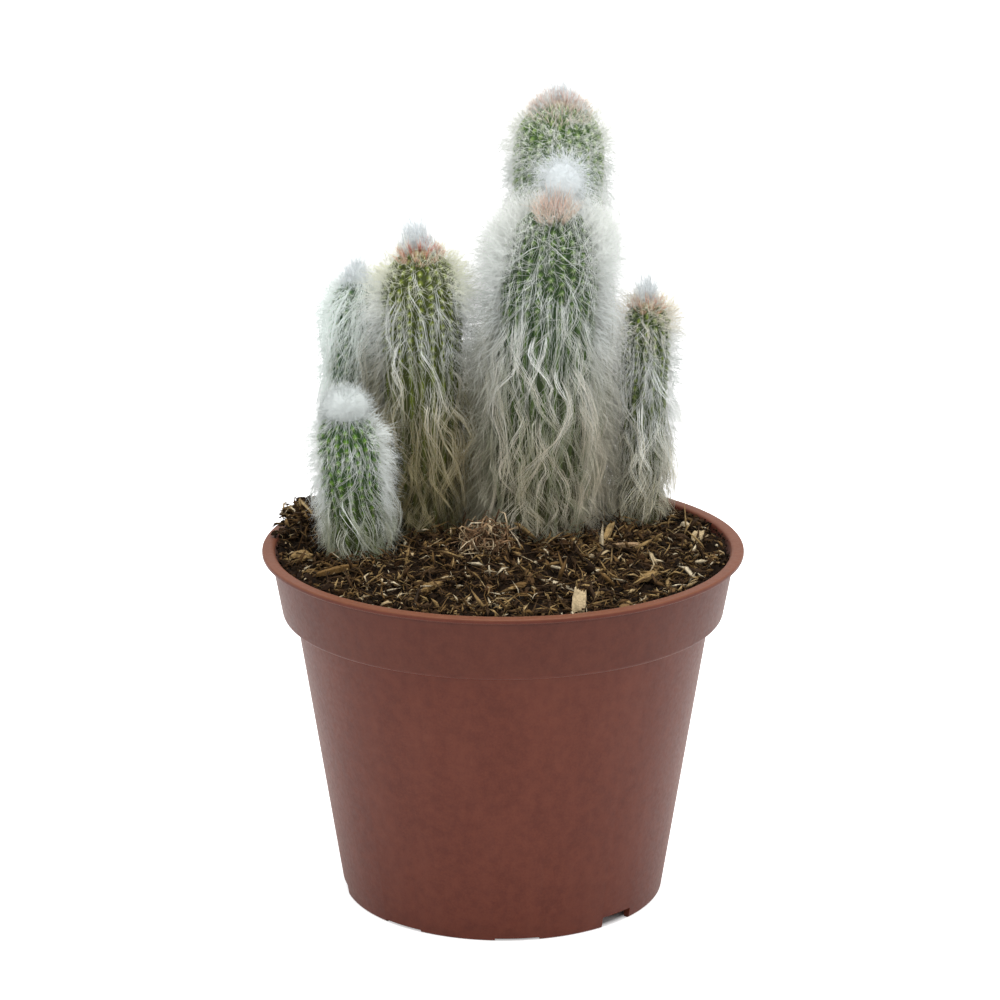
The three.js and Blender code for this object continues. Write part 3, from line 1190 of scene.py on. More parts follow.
        paths[..., :2] *= np.minimum(1, rim / np.maximum(reach, 1e-9))[..., None]
        width = np.clip(rng.lognormal(math.log(0.3), 0.55, count), 0.08, 0.8) * MM
        shape = np.interp(np.linspace(0, 1, steps), [0, 0.3, 0.7, 1], [0.75, 1, 0.95, 0.4])
        tint = np.where(rng.uniform(0, 1, count) < 0.42, rng.uniform(0.05, 0.36, count),
                        np.clip(rng.normal(0.56, 0.24, count), 0, 1))
        return Strands(paths, width[:, None] * shape, {"tint": tint}, flatness=0.45)

    def dress(self, wood: Material) -> None:
        """Shows the bed and what is strewn over it.

        Args:
            wood: The finish of the flakes, fibres and slivers.
        """
        peat = Peat().make()
        show("peat_bed", self.bed(), peat, ["potting_mix"])
        show("peat_crumbs", self.crumb_mesh(), peat)
        show("wood_flakes", self.flake_mesh(), wood)
        for name, count, steps in (("wood_fibres", self.fibres, 4), ("wood_slivers", self.slivers, 3)):
            show(name, self.strewn(count, steps).mesh(name), wood)


# ---- stems

DOME = 1.2  # height of a stem's domed top, as a share of its radius


@dataclass
class StemForm:
    """A stem's centre line and outline, read off its solid in the frame."""

    name: str
    ribs: int
    foot: Array
    top: Array
    radius: float

    @classmethod
    def read(cls, name: str, ribs: int) -> "StemForm":
        """Reads a stem from the frame.

        Args:
            name: The stem's name, without its node's prefix.
            ribs: How many ribs it has.

        Returns:
            The stem's form.
        """
        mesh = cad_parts[f"stem_{name}"].data
        points = np.array([vert.co for vert in mesh.vertices])
        heights = points[:, 2]
        foot = points[heights < heights.min() + 0.01 * MM].mean(0)
        top = points[heights.argmax()]
        share = ((heights - foot[2]) / (top[2] - foot[2]))[:, None]
        centre = lerp(foot[:2], top[:2], share)
        radius = np.linalg.norm(points[:, :2] - centre, axis=1).max()
        return cls(name, ribs, foot, top, float(radius))

    @property
    def dome_foot(self) -> float:
        """The height where the domed top starts."""
        return self.top[2] - DOME * self.radius

    def centre(self, height: Array) -> Array:
        """The centre line's x and y at heights."""
        share = (np.asarray(height) - self.foot[2]) / (self.top[2] - self.foot[2])
        return lerp(self.foot[:2], self.top[:2], share[..., None])

    def outline(self, height: Array) -> Array:
        """The stem's radius at heights, ribs and bumps left out.

        Args:
            height: The heights.

        Returns:
            The radii.
        """
        height = np.asarray(height, float)
        share = past(height, self.foot[2], self.dome_foot - self.foot[2])
        swell = 0.84 + 0.16 * np.sin(np.pi * np.minimum(0.8 * share, 0.5))
        return self.radius * swell * np.sqrt(1 - self.rise(height) ** 2)

    def rise(self, height: Values) -> Array:
        """How far up the domed top heights are, from 0 to 1."""
        return past(height, self.dome_foot, DOME * self.radius)

    def outward(self, turn: Array, level: Array, rise: Array) -> Array:
        """The ways out of the skin, by how level they are and how far up the domed top."""
        return unit(np.stack([level * np.sin(turn), -level * np.cos(turn), rise / DOME], -1))

    def point(self, turn: Array, height: Array, off: Values = 0.0) -> Array:
        """Points round the stem, with xyz last, this far off the skin."""
        return self.round(turn, height, self.outline(height) + off)

    def beside(self, points: Array) -> tuple[Array, Array, Array]:
        """Where this stem is, level with some points.

        Args:
            points: The points.

        Returns:
            Its centre line's x and y there, the way from it to each point, and its radius.
        """
        height = np.clip(points[..., 2], self.foot[2], self.top[2] - 0.1 * MM)
        centre = self.centre(height)
        return centre, points[..., :2] - centre, self.outline(height)

    def round(self, turn: Array, height: Array, reach: Array) -> Array:
        """Points round the stem's centre line.

        Args:
            turn: Their turns.
            height: Their heights.
            reach: How far from the centre line they are.

        Returns:
            The points, with xyz last.
        """
        centre = self.centre(height)
        x = centre[..., 0] + reach * np.sin(turn)
        y = centre[..., 1] - reach * np.cos(turn)
        return np.stack([x, y, np.broadcast_to(height, x.shape)], -1)


@dataclass
class StemSkin:
    """The ribbed skin of a stem, with a bump under every areole."""

    form: StemForm
    finish: Flesh
    pitch: float = 2.2 * MM
    rib_depth: float = 0.055
    bump: float = 0.75 * MM
    fine: float = 27 * MM  # how far down from the tip the bumps are fully shaped

    def heights(self) -> list[float]:
        """Where the skin's rings go, close together where it shows.

        Returns:
            Their heights.
        """
        found = []
        height = self.form.foot[2]
        while height < self.form.top[2] - 0.9 * MM:
            found.append(height)
            depth = self.form.top[2] - height
            height += self.pitch / 4 if depth < self.fine else 3 * MM
        cap = [self.form.top[2] - d * MM for d in (0.75, 0.45, 0.2, 0.06)]
        return found + cap

    def build(self) -> Mesh:
        """Turns the skin round its axis, then ribs it, bumps it and leans it.

        Returns:
            The skin's mesh, carrying where its ridges and areoles are and its age.
        """
        form = self.form
        rings = self.heights()
        outline = [(0.0, form.foot[2])] + [(float(form.outline(z)), z) for z in rings]
        outline.append((0.0, form.top[2]))
        bm = turned(outline, form.ribs * 4)
        layers = {key: bm.verts.layers.float.new(key) for key in ("ridge", "areole", "age", "young")}
        length = form.top[2] - form.foot[2]
        for vert in bm.verts:
            turn = math.atan2(vert.co.x, -vert.co.y)
            height = vert.co.z
            rib = 0.5 + 0.5 * math.cos(form.ribs * turn)
            odd = round(form.ribs * turn / math.tau) % 2
            row = math.cos(math.tau * (height / self.pitch + 0.5 * odd))
            depth = form.top[2] - height
            shown = held(1.6 - depth / self.fine)
            near_tip = min(1.0, depth / (3 * MM))
            swell = self.bump * rib * (0.5 + 0.5 * row) * shown * near_tip
            groove = self.rib_depth * form.radius * (1 - rib) * near_tip
            plain = math.hypot(vert.co.x, vert.co.y)
            scale = (plain - groove + swell) / plain if plain > WELD else 1.0
            centre = form.centre(height)
            vert.co.x = vert.co.x * scale + centre[0]
            vert.co.y = vert.co.y * scale + centre[1]
            # the ridge value also sets the painted shade in the grooves and the painted highlight on
            # the bumps
            vert[layers["ridge"]] = rib * (0.6 + 0.4 * row * shown)
            vert[layers["areole"]] = rib**4 * max(0.0, row) ** 2 * min(1.0, shown + 0.3)
            vert[layers["age"]] = min(1.0, depth / length)
            vert[layers["young"]] = held(1.1 - depth / (0.8 * MM))
        return to_mesh(bm, f"skin_{form.name}")

    def dress(self) -> None:
        """Shows the skin."""
        name = self.form.name
        show(f"skin_{name}", self.build(), self.finish.make(), [f"stem_{name}"])

    def areoles(self) -> tuple[Array, Array]:
        """Finds every areole above the mix.

        Returns:
            Their turns and their heights.
        """
        form = self.form
        turns, heights = [], []
        for rib in range(form.ribs):
            turn = math.tau * rib / form.ribs
            turn = (turn + math.pi) % math.tau - math.pi
            odd = round(form.ribs * turn / math.tau) % 2
            first = math.ceil((form.foot[2] + 5 * MM) / self.pitch)
            row = first
            while (height := (row - 0.5 * odd) * self.pitch) < form.top[2] - 1.2 * MM:
                turns.append(turn)
                heights.append(height)
                row += 1
        return np.array(turns), np.array(heights)


@dataclass
class Bristles:
    """The short pale bristles that fan out of every areole."""

    skin: StemSkin
    each: int = 5
    length: tuple[float, float] = (1.2 * MM, 2.6 * MM)
    width: float = 0.05 * MM
    dense_to: float = 30 * MM  # how far below the tip the full number grows
    seed: int = 1

    def build(self) -> Mesh:
        """Grows all the bristles of a stem.

        Returns:
            Their mesh.
        """
        form = self.skin.form
        rng = np.random.default_rng(self.seed)
        turns, heights = self.skin.areoles()
        fan = (np.arange(self.each) + 0.7 * rng.uniform(0, 1, (len(turns), self.each))) / self.each
        kept = (form.top[2] - heights)[:, None] < self.dense_to
        kept = kept | (rng.uniform(0, 1, fan.shape) < 0.25)
        lean = (math.radians(170) * (fan - 0.5))[kept]  # from straight down, to either side
        turns = np.broadcast_to(turns[:, None], fan.shape)[kept] + rng.normal(0, 0.02, lean.size)
        heights = np.broadcast_to(heights[:, None], fan.shape)[kept]
        out = rng.uniform(0.1, 0.7, lean.size)
        across = facing(turns + math.pi / 2)
        flat = np.sin(lean)[:, None] * across + np.cos(lean)[:, None] * DOWN
        heading = unit(flat + out[:, None] * facing(turns))
        length = rng.uniform(*self.length, lean.size)
        root = form.point(turns, heights, 0.3 * MM)
        share = np.array([0.0, 1.0])
        paths = root[:, None, :] + heading[:, None, :] * (length[:, None] * share)[..., None]
        widths = self.width * rng.uniform(0.8, 1.3, (lean.size, 1)) * np.ones((1, 2))
        along = np.broadcast_to(share, widths.shape)
        tint = rng.uniform(0, 1, lean.size)
        values = {"along": along, "tint": tint}
        return Strands(paths, widths, values, pointed=False).mesh(f"bristles_{form.name}")

    def dress(self, finish: Material) -> None:
        """Shows the bristles in a finish."""
        show(f"bristles_{self.skin.form.name}", self.build(), finish)


@dataclass(frozen=True)
class Layer:
    """One layer of a stem's hair. Lengths and depths below the tip are in millimetres.

    Attributes:
        locks: How many locks there are.
        per_lock: How many strands a lock has.
        length: The shortest and the longest lock.
        loft: How far the nearest and the furthest locks stand off the skin.
        throw: Over what length a lock bends from outwards to downwards, least and most.
        depth: Where the first roots are, and where they stand at full number.
        thin: What share of that number is left at the foot of the stem.
        reach: Over what depth the number falls to that share.
        skew: How strongly the lofts gather at the nearest, from 1.
        sweep: How far a lock turns to the right on its way down, as a slope.
        stray: How much that slope varies.
        wave: How strongly a lock waves, least and most.
        spread: How wide the roots of a lock are strewn.
        upward: How strongly the locks start upwards.
        width: A strand's radius.
        steps: How many points a strand has.
        glow: How strongly it glows, a painted glow that stands in for light passing through it.
    """

    locks: int
    per_lock: int = 8
    length: tuple[float, float] = (15, 40)
    loft: tuple[float, float] = (1.4, 8.6)
    throw: tuple[float, float] = (3, 8)
    depth: tuple[float, float] = (5, 50)
    thin: float = 1.0
    skew: float = 1.2
    sweep: float = 0.05
    reach: float = 32
    stray: float = 0.26
    wave: tuple[float, float] = (0.8, 2.5)
    spread: float = 0.85
    upward: float = 0.2
    width: float = 0.057
    steps: int = 7
    glow: float = 0.4


@dataclass(frozen=True)
class Halo:
    """The fine hair that stands off a stem all round. Lengths and depths are in millimetres.

    Attributes:
        tufts: How many little tufts of it there are.
        length: The shortest and the longest hair.
        depth: Down to where it stands at full number, and where it has thinned out.
        rest: What share of it is left below that.
        lift: How strongly it rises at the stem's tip, and how strongly lower down.
        crest: How much thicker it grows round the domed top.
        cream: How creamy it is round the domed top.
        per_tuft: How many hairs a tuft has.
        width: A hair's radius.
        drape: How strongly it lies down, and thins out, on the stem's front.
        glow: How strongly it glows, a painted glow that stands in for light passing through it.
    """

    tufts: int
    length: tuple[float, float] = (4, 9)
    depth: tuple[float, float] = (24, 60)
    rest: float = 0.12
    lift: tuple[float, float] = (0.55, -0.6)
    crest: float = 1.2
    cream: float = 0.35
    per_tuft: int = 5
    width: float = 0.044
    drape: float = 0.8
    glow: float = 0.48


@dataclass
class HairCoat:
    """The coat of long silky hair that hangs round a stem, and the halo that stands off it."""

    form: StemForm
    halo: Halo
    layers: tuple[Layer, Layer]  # the fine hair over the skin, then the long locks
    others: list[StemForm]  # the stems that the hair keeps out of
    mix: PottingMix
    old: tuple[float, float]  # how far below the tip it starts to age and is old, in millimetres
    seed: int

    def __post_init__(self) -> None:
        """Starts the coat's random draws."""
        self.rng = np.random.default_rng(self.seed)

    def strewn(self, count: int, depths: Array, weight: Array) -> Array:
        """Random depths, by how much hair belongs at each of a row of depths."""
        cumulative = np.cumsum(weight)
        return np.interp(self.rng.uniform(0, cumulative[-1], count), cumulative, depths)

    def at_shoulder(self, depth: Array, width: float) -> Array:
        """How close depths are to the shoulder of the domed top, from 0 to 1."""
        return np.exp(-(((depth - 0.8 * DOME * self.form.radius) / width) ** 2))

    def age_at(self, paths: Array, later: float = 0.0) -> Array:
        """How old hair is at points, from 0 to 1, if it starts to age this much lower."""
        depth = (self.form.top[2] - paths[..., 2]) / MM
        return past(depth, self.old[0] + later, self.old[1] - self.old[0])

    def rooted(self) -> tuple[Array, ...]:
        """Strews the halo's tufts over the stem, with few on its front and in the open lower down.

        Returns:
            Each tuft's depth below the tip, its turn, how much it drapes and how shaded it is.
        """
        form, halo = self.form, self.halo
        depths = np.linspace(0.5 * MM, form.top[2] - self.mix.highest, 300)
        full, gone = (value * MM for value in halo.depth)
        fade = 1 - (1 - halo.rest) * past(depths, full, gone - full)
        fade = fade * (1 + halo.crest * self.at_shoulder(depths, 6 * MM))
        depth = self.strewn(halo.tufts, depths, form.outline(form.top[2] - depths) * fade)
        turn = self.rng.uniform(-math.pi, math.pi, halo.tufts)
        edge = 0.46 + 0.22 * np.clip(1 - depth / (18 * MM), 0, 1)
        drape = halo.drape * past(np.cos(turn), edge, 0.26)
        shaded = self.crowding(form.point(turn, form.top[2] - depth, 2 * MM))
        in_open = 0.75 * np.clip((depth - full) / (gone - full) * 2, 0, 1) * (shaded < 0.1)
        bare = np.maximum(0.97 * drape * past(depth, 1 * MM, 4 * MM), in_open)
        kept = self.rng.uniform(0, 1, halo.tufts) > bare
        return depth[kept], turn[kept], drape[kept], shaded[kept]

    def standing(self, name: str) -> Mesh:
        """The halo, whose hairs stand off the stem or lie down over its front.

        Args:
            name: The mesh's name.

        Returns:
            The mesh, carrying the hairs' age, tint, cream and glow.
        """
        form, halo, rng = self.form, self.halo, self.rng
        depth, turn, drape, shaded = self.rooted()
        height = form.top[2] - depth
        rise = form.rise(height)
        out = form.outward(turn, np.sqrt(1 - rise**2), rise) * (1 - 0.75 * drape)[:, None]
        lift = lerp(*halo.lift, past(depth, 8 * MM, 31 * MM))
        out[:, 2] += lift * rng.uniform(0.5, 1.8, len(turn))
        out[:, 2] -= 1.1 * drape * past(depth, 1 * MM, 3 * MM)
        aim = unit(out + rng.normal(0, 0.24, out.shape))
        owner = np.repeat(np.arange(len(turn)), halo.per_tuft)
        count = len(owner)
        heading = unit(aim[owner] + rng.normal(0, 0.17, (count, 3)))
        reach = (1 + 0.35 * self.at_shoulder(depth, 8 * MM) + 0.45 * shaded)[owner]
        length = lerp(*halo.length, rng.uniform(0, 1, (count, 1, 1)) ** 1.2) * MM
        length = length * reach[:, None, None]
        share = np.array([0.0, 0.48, 1.0])[None, :, None]
        root = form.point(turn, height, -0.2 * MM)[owner] + rng.normal(0, 0.3, (count, 3)) * MM
        sag = DOWN * rng.uniform(0, 0.75, (count, 1, 1)) * length * share**2
        curl = rng.normal(0, 0.14, (count, 1, 3)) * length * np.sin(math.pi * 1.5 * share)
        paths = self.clear(root[:, None, :] + heading[:, None, :] * length * share + sag + curl)
        width = halo.width * MM * rng.uniform(0.75, 1.3, count) * (1 + 0.7 * shaded[owner])
        # painted shade: hair that other stems hem in is aged, tinted darker and glows less; draped
        # hair is darker too
        age = np.minimum(self.age_at(paths, 6), 0.8) + 0.2 * shaded[owner][:, None]
        top = 0.9 * DOME * form.radius
        cream = halo.cream * np.clip(1.5 - depth[owner] / top, 0, 1)
        tint = np.clip(rng.beta(1, 5, count) + (0.3 * drape + 0.7 * shaded)[owner], 0, 1)
        # a painted glow that stands in for light passing through the hair, dimmer lower down and where
        # it drapes
        lit = halo.glow * (1 - 0.6 * drape) * np.clip(1.3 - depth / (60 * MM), 0.3, 1)
        glow = (lit * (1 - 0.9 * shaded))[owner]
        values = {"age": age, "tint": tint, "cream": cream, "glow": glow}
        return Strands(paths, width[:, None] * np.array([1, 1, 0.4]), values).mesh(name)

    def guides(self, layer: Layer) -> tuple[Array, Array]:
        """The centre line of every lock of a layer.

        Args:
            layer: The layer.

        Returns:
            The locks' points, as (lock, step, xyz), and how far out each lies, from 0 to 1.
        """
        form, rng, count = self.form, self.rng, layer.locks
        # where the locks are rooted, and how long each is
        soil = self.mix.highest - 3 * MM
        depths = np.linspace(0.2 * MM, form.top[2] - soil, 500)
        first, full = (value * MM for value in layer.depth)
        share = past(depths, first, full - first)
        thinning = 1 - (1 - layer.thin) * past(depths, full, layer.reach * MM)
        girth = form.outline(form.top[2] - depths) + 0.25 * form.radius
        weight = share * share * (3 - 2 * share) * girth * thinning
        root = form.top[2] - self.strewn(count, depths, weight)
        rib = rng.integers(0, form.ribs, count)
        turn = math.tau * (rib + rng.normal(0, 0.25, count)) / form.ribs
        length = rng.uniform(*layer.length, count) * MM
        length = np.clip(length, 2.5 * MM, root - soil + rng.uniform(1.5, 6, count) * MM)
        # each bends outwards, then down, and ends by hugging the stem
        throw = np.minimum(rng.uniform(*layer.throw, count) * MM, 0.6 * length)
        outer = rng.uniform(0, 1, count) ** layer.skew
        loft = np.minimum(lerp(*layer.loft, outer) * MM, 0.98 * throw)
        run = length[:, None] * np.linspace(0, 1, layer.steps)
        settled = 1 - np.exp(-run / throw[:, None])
        rise = form.rise(root)
        normal = unit(np.stack([np.sqrt(1 - rise**2), rise / DOME], -1))
        upward = layer.upward + rng.normal(0, 0.2, count)
        late = (1 - np.sqrt(1 - (loft / throw) ** 2) + upward)[:, None]
        fall = run - throw[:, None] * settled * late
        out = loft[:, None] * settled * (1 - 0.35 * (run / length[:, None]) ** 2)
        height = root[:, None] + normal[:, 1:] * out - fall
        radius = form.outline(root)[:, None] + normal[:, :1] * out - 0.2 * MM
        hug = form.outline(np.minimum(height, form.top[2] - 0.02 * MM)) + 0.55 * out
        radius = np.where(height < root[:, None], np.maximum(radius, hug), radius)
        # and it waves and drifts to one side on its way
        beat = rng.uniform(13, 30, count)[:, None] * MM
        phase = rng.uniform(0, math.tau, (2, count, 1))
        wave = rng.uniform(*layer.wave, count)[:, None] * MM * np.minimum(1, run / (6 * MM))
        slope = (layer.sweep + rng.normal(0, layer.stray, count))[:, None]
        slide = slope * run * (0.4 + 0.6 * run / length[:, None])
        slide = slide + wave * np.sin(math.tau * run / beat + phase[0])
        turned_by = turn[:, None] + slide / np.maximum(radius, 0.5 * form.radius)
        radius = radius + 0.45 * wave * (1 + np.sin(math.tau * run / beat * 1.4 + phase[1]))
        return form.round(turned_by, height, radius), outer

    def crowding(self, points: Array) -> Array:
        """How closely the other stems hem in places on the lower part of this one; the hair there gets
        painted shade by it.

        Args:
            points: The places.

        Returns:
            How closely, from 0 to 1.
        """
        near = np.zeros(points.shape[:-1])
        for other in self.others:
            _, away, radius = other.beside(points)
            gap = np.maximum(np.linalg.norm(away, axis=-1) - radius, points[..., 2] - other.top[2])
            near = np.maximum(near, np.clip(1.5 - gap / (9.5 * MM), 0, 1))
        bare = self.form.top[2] - self.mix.highest
        return near * past((self.form.top[2] - points[..., 2]) / bare, 0.16, 0.22)

    def clear(self, paths: Array) -> Array:
        """Keeps the hair out of the other stems, above the mix and inside the lip.

        Args:
            paths: The hairs' points, which are moved.

        Returns:
            The same points.
        """
        for other in self.others:
            centre, away, radius = other.beside(paths)
            distance = np.linalg.norm(away, axis=-1)
            need = radius + 0.35 * MM
            inside = (distance < need) & (paths[..., 2] < other.top[2] + 0.3 * MM)
            push = np.where(inside, need / np.maximum(distance, WELD), 1.0)
            paths[..., :2] = centre + away * push[..., None]
        soil = self.mix.highest - 3.6 * MM
        paths[..., 2] -= np.minimum(paths[..., 2] - soil, 0) * 0.85
        reach = np.hypot(paths[..., 0], paths[..., 1])
        limit = self.mix.radius + 0.5 * MM
        over = (paths[..., 2] < self.mix.highest + 4 * MM) & (reach > limit)
        paths[..., :2] *= np.where(over, limit / np.maximum(reach, WELD), 1.0)[..., None]
        return paths

    def build(self, layer: Layer, name: str) -> Mesh:
        """All the strands of a layer, gathered in locks.

        Args:
            layer: The layer.
            name: The mesh's name.

        Returns:
            The mesh, carrying the strands' age, tint and glow.
        """
        rng, count = self.rng, layer.locks * layer.per_lock
        owner = np.repeat(np.arange(layer.locks), layer.per_lock)
        share = np.linspace(0, 1, layer.steps)[None, :, None]
        guides, outer = self.guides(layer)
        paths = guides[owner].copy()
        offset = rng.normal(0, layer.spread, (count, 1, 3)) * MM
        paths += offset * (1 - 0.75 * share**0.7) * np.minimum(1, 0.45 + 3 * share)
        curl = rng.uniform(0.1, 0.5, (count, 1, 1)) * MM * share**0.7
        beat = rng.uniform(1.0, 3.2, (count, 1, 3))
        phase = rng.uniform(0, math.tau, (count, 1, 3))
        paths += curl * np.sin(math.tau * beat * share + phase)
        paths = self.clear(shortened(paths, rng.uniform(0.7, 1.0, count)))
        taper = np.interp(share[..., 0], [0, 0.12, 0.55, 1], [0.7, 1.0, 0.85, 0.3])
        widths = layer.width * MM * rng.uniform(0.7, 1.35, count)[:, None] * taper
        shaded = self.crowding(paths[:, 1])
        # painted shade: hair that other stems hem in is aged, tinted darker and glows less; locks
        # close to the skin are darker
        aged = self.age_at(paths) + rng.normal(0, 0.12, (count, 1)) + 0.25 * shaded[:, None]
        tint = (0.88 - 1.0 * outer + rng.normal(0, 0.18, layer.locks))[owner]
        tint = np.clip(tint + rng.normal(0, 0.1, count) + 0.5 * shaded, 0, 1)
        values = {"age": np.clip(aged, 0, 1), "tint": tint, "glow": layer.glow * (1 - 0.9 * shaded)}
        return Strands(paths, widths, values).mesh(name)

    def dress(self, finish: Material) -> None:
        """Shows the halo, the fine hair over the skin and the locks, which stand for the solid.

        Args:
            finish: The hair's finish.
        """
        stem = self.form.name
        show(f"halo_{stem}", self.standing(f"halo_{stem}"), finish)
        down, coat = self.layers
        show(f"down_{stem}", self.build(down, f"down_{stem}"), finish)
        show(f"coat_{stem}", self.build(coat, f"coat_{stem}"), finish, [f"hair_{stem}"])


class TuftShape(Enum):
    """How the wool on a stem's tip is gathered."""

    BALL = "ball"
    PLUME = "plume"


@dataclass(frozen=True)
class Tuft:
    """A stem's tip. Lengths are in millimetres.

    Attributes:
        shape: How its wool is gathered.
        size: The radius of a ball, or the spread of a plume's roots.
        rise: How far above the tip a ball's middle or a plume's point is.
        fibres: How many woolly fibres there are.
        fibre_length: Their shortest and longest length.
        spines: How many crown spines there are.
        spine_length: Their shortest and longest length.
        spine_ring: From how far to how far out from the tip the spines grow, in degrees.
        flat: A ball's height as a share of its width.
        shift: How far the wool stands to the right of the tip, and behind it.
        glow: How strongly the wool glows, a painted glow for light passing through it; wool that glows
            little is greyed as painted shade.
        areoles: From how many areoles the crown spines grow.
        forward: How far in front of the tip the spines' middle is, in degrees.
    """

    shape: TuftShape
    size: float
    rise: float
    fibres: int
    fibre_length: tuple[float, float]
    spines: int = 0
    spine_length: tuple[float, float] = (3.0, 6.0)
    spine_ring: tuple[float, float] = (0, 70)
    flat: float = 0.9
    shift: tuple[float, float] = (0, 0)
    glow: float = 0.4
    areoles: int = 16
    forward: float = 0.0

    def place(self, tip: Array) -> Array:
        """The middle of a ball or the point of a plume, over a stem's tip."""
        return tip + np.array([*self.shift, self.rise]) * MM


@dataclass
class Crown:
    """The woolly tuft and the crown spines at a stem's tip."""

    form: StemForm
    tuft: Tuft
    seed: int

    def __post_init__(self) -> None:
        """Starts the tip's random draws."""
        self.rng = np.random.default_rng(self.seed)

    def dome(self, turn: Array, fall: Array) -> tuple[Array, Array]:
        """Points on the domed top and the way out of it there.

        Args:
            turn: Their turns.
            fall: Their angles down from the tip, in radians.

        Returns:
            The points and the outward directions.
        """
        form = self.form
        height = form.dome_foot + DOME * form.radius * np.cos(fall)
        height = np.minimum(height, form.top[2] - 0.01 * MM)
        return form.point(turn, height), form.outward(turn, np.sin(fall), np.cos(fall))

    def spine_mesh(self) -> Mesh:
        """The crown's fine spines, fanned up and outwards.

        Returns:
            Their mesh, carrying how far along and how far out they are, and their tint.
        """
        tuft, rng, count = self.tuft, self.rng, self.tuft.spines
        low, high = (math.radians(angle) for angle in tuft.spine_ring)
        areole = rng.integers(0, tuft.areoles, count)
        turn = 2.4 * areole + rng.normal(0, 0.12, count)
        share = np.sqrt((areole + 0.5) / tuft.areoles)
        fall = low + (high - low) * share
        sideways, ahead = fall * np.sin(turn), fall * np.cos(turn) + math.radians(tuft.forward)
        root, out = self.dome(np.arctan2(sideways, ahead), np.hypot(sideways, ahead))
        spray = facing(turn) * (0.45 * share)[:, None]
        heading = unit(0.4 * out + spray + rng.normal(0, 0.2, (count, 3)) - 0.6 * DOWN)
        length = rng.uniform(*tuft.spine_length, count) * MM * (1.2 - 0.4 * share)
        along = np.linspace(0, 1, 3)
        bend = (along**2)[None, :, None] * rng.normal(0, 0.16, (count, 1, 3)) * length[:, None, None]
        paths = root[:, None, :] + heading[:, None, :] * (length[:, None] * along)[..., None] + bend
        widths = 0.06 * MM * rng.uniform(0.7, 1.4, count)[:, None] * np.array([1, 0.85, 0.4])
        values = {"along": np.broadcast_to(along, widths.shape), "tint": rng.uniform(0, 1, count),
                  "outer": np.clip(share + rng.normal(0, 0.15, count), 0, 1)}
        return Strands(paths, widths, values).mesh(f"crown_{self.form.name}")

    def fibre_mesh(self) -> Mesh:
        """The fine fibres of the tip's wool.

        Returns:
            Their mesh, carrying their glow.
        """
        tuft, form, rng, count = self.tuft, self.form, self.rng, self.tuft.fibres
        free = 0.28 * math.pi if tuft.spines else 0.0  # the front, where the spines show
        turn = rng.uniform(free, math.tau - free, count)
        length = lerp(*tuft.fibre_length, rng.uniform(0, 1, (count, 1, 1)) ** 2) * MM
        share = np.linspace(0, 1, 3)[None, :, None]
        middle = tuft.place(form.top)
        if tuft.shape is TuftShape.BALL:
            start = unit(rng.normal(0, 1, (count, 3)) + np.array([0, 0, 0.15]))
            root = middle + start * tuft.size * MM * np.array([1, 1, tuft.flat]) * 0.66
            aim = unit(start + rng.normal(0, 0.45, (count, 3)) + np.array([0, 0, -0.2]))
            aim[:, 2] -= 0.9 * np.clip(0.1 - start[:, 2], 0, 0.7)
            length = length * (1 + 1.1 * np.clip(0.15 - start[:, 2], 0, 1))[:, None, None]
            paths = root[:, None, :] + aim[:, None, :] * length * share
        else:
            spread = tuft.size * MM * rng.uniform(0, 1, count) ** 0.75
            fall = np.arcsin(np.minimum(0.98, spread / form.radius))
            root, start = self.dome(turn, fall)
            toward = unit(middle - root + rng.normal(0, 3.5, (count, 3)) * MM)
            length = length * (1.25 - 0.7 * (spread / (tuft.size * MM)))[:, None, None]
            lean = start[:, None, :] * 0.5 * share * (1 - share)
            paths = root[:, None, :] + (toward[:, None, :] * share + lean) * length
        curl = rng.uniform(0.3, 1.3, (count, 1, 1)) * MM * share
        beat = rng.uniform(0.4, 1.1, (count, 1, 3))
        phase = rng.uniform(0, math.tau, (count, 1, 3))
        paths = paths + curl * (np.sin(math.tau * beat * share + phase) - np.sin(phase))
        widths = 0.038 * MM * rng.uniform(0.7, 1.4, count)[:, None] * np.array([1, 1, 0.4])
        return Strands(paths, widths, {"glow": np.full(count, tuft.glow)}).mesh(f"wisps_{form.name}")

    def core_mesh(self) -> Mesh:
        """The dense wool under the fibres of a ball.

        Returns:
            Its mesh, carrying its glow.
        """
        tuft = self.tuft
        bm = bmesh.new()
        bmesh.ops.create_icosphere(bm, subdivisions=4, radius=1.0)
        middle = Vector(tuft.place(self.form.top))
        carry(bm, "glow", tuft.glow)
        for vert in bm.verts:
            lumps = noise.noise(vert.co * 1.9 + Vector((self.seed, 0, 0)))
            swell = tuft.size * MM * (0.8 + 0.06 * lumps)
            vert.co = Vector((vert.co.x, vert.co.y, vert.co.z * tuft.flat)) * swell + middle
        return to_mesh(bm, f"wool_{self.form.name}")

    def dress(self, spine: Material, wool: Material) -> None:
        """Shows the tip's wool and spines.

        Args:
            spine: The spines' finish.
            wool: The wool's finish.
        """
        name = self.form.name
        if self.tuft.spines:
            show(f"crown_{name}", self.spine_mesh(), spine)
        show(f"wisps_{name}", self.fibre_mesh(), wool)
        if self.tuft.shape is TuftShape.BALL:
            show(f"wool_{name}", self.core_mesh(), wool)


@dataclass(frozen=True)
class StemPlan:
    """What one stem is made of."""

    name: str
    ribs: int
    flesh: Flesh
    hair: Hair
    halo: Halo
    down: Layer
    coat: Layer
    tuft: Tuft
    crown: Spine
    old: tuple[float, float] = (18, 70)  # how far below the tip its hair starts to age, and is old


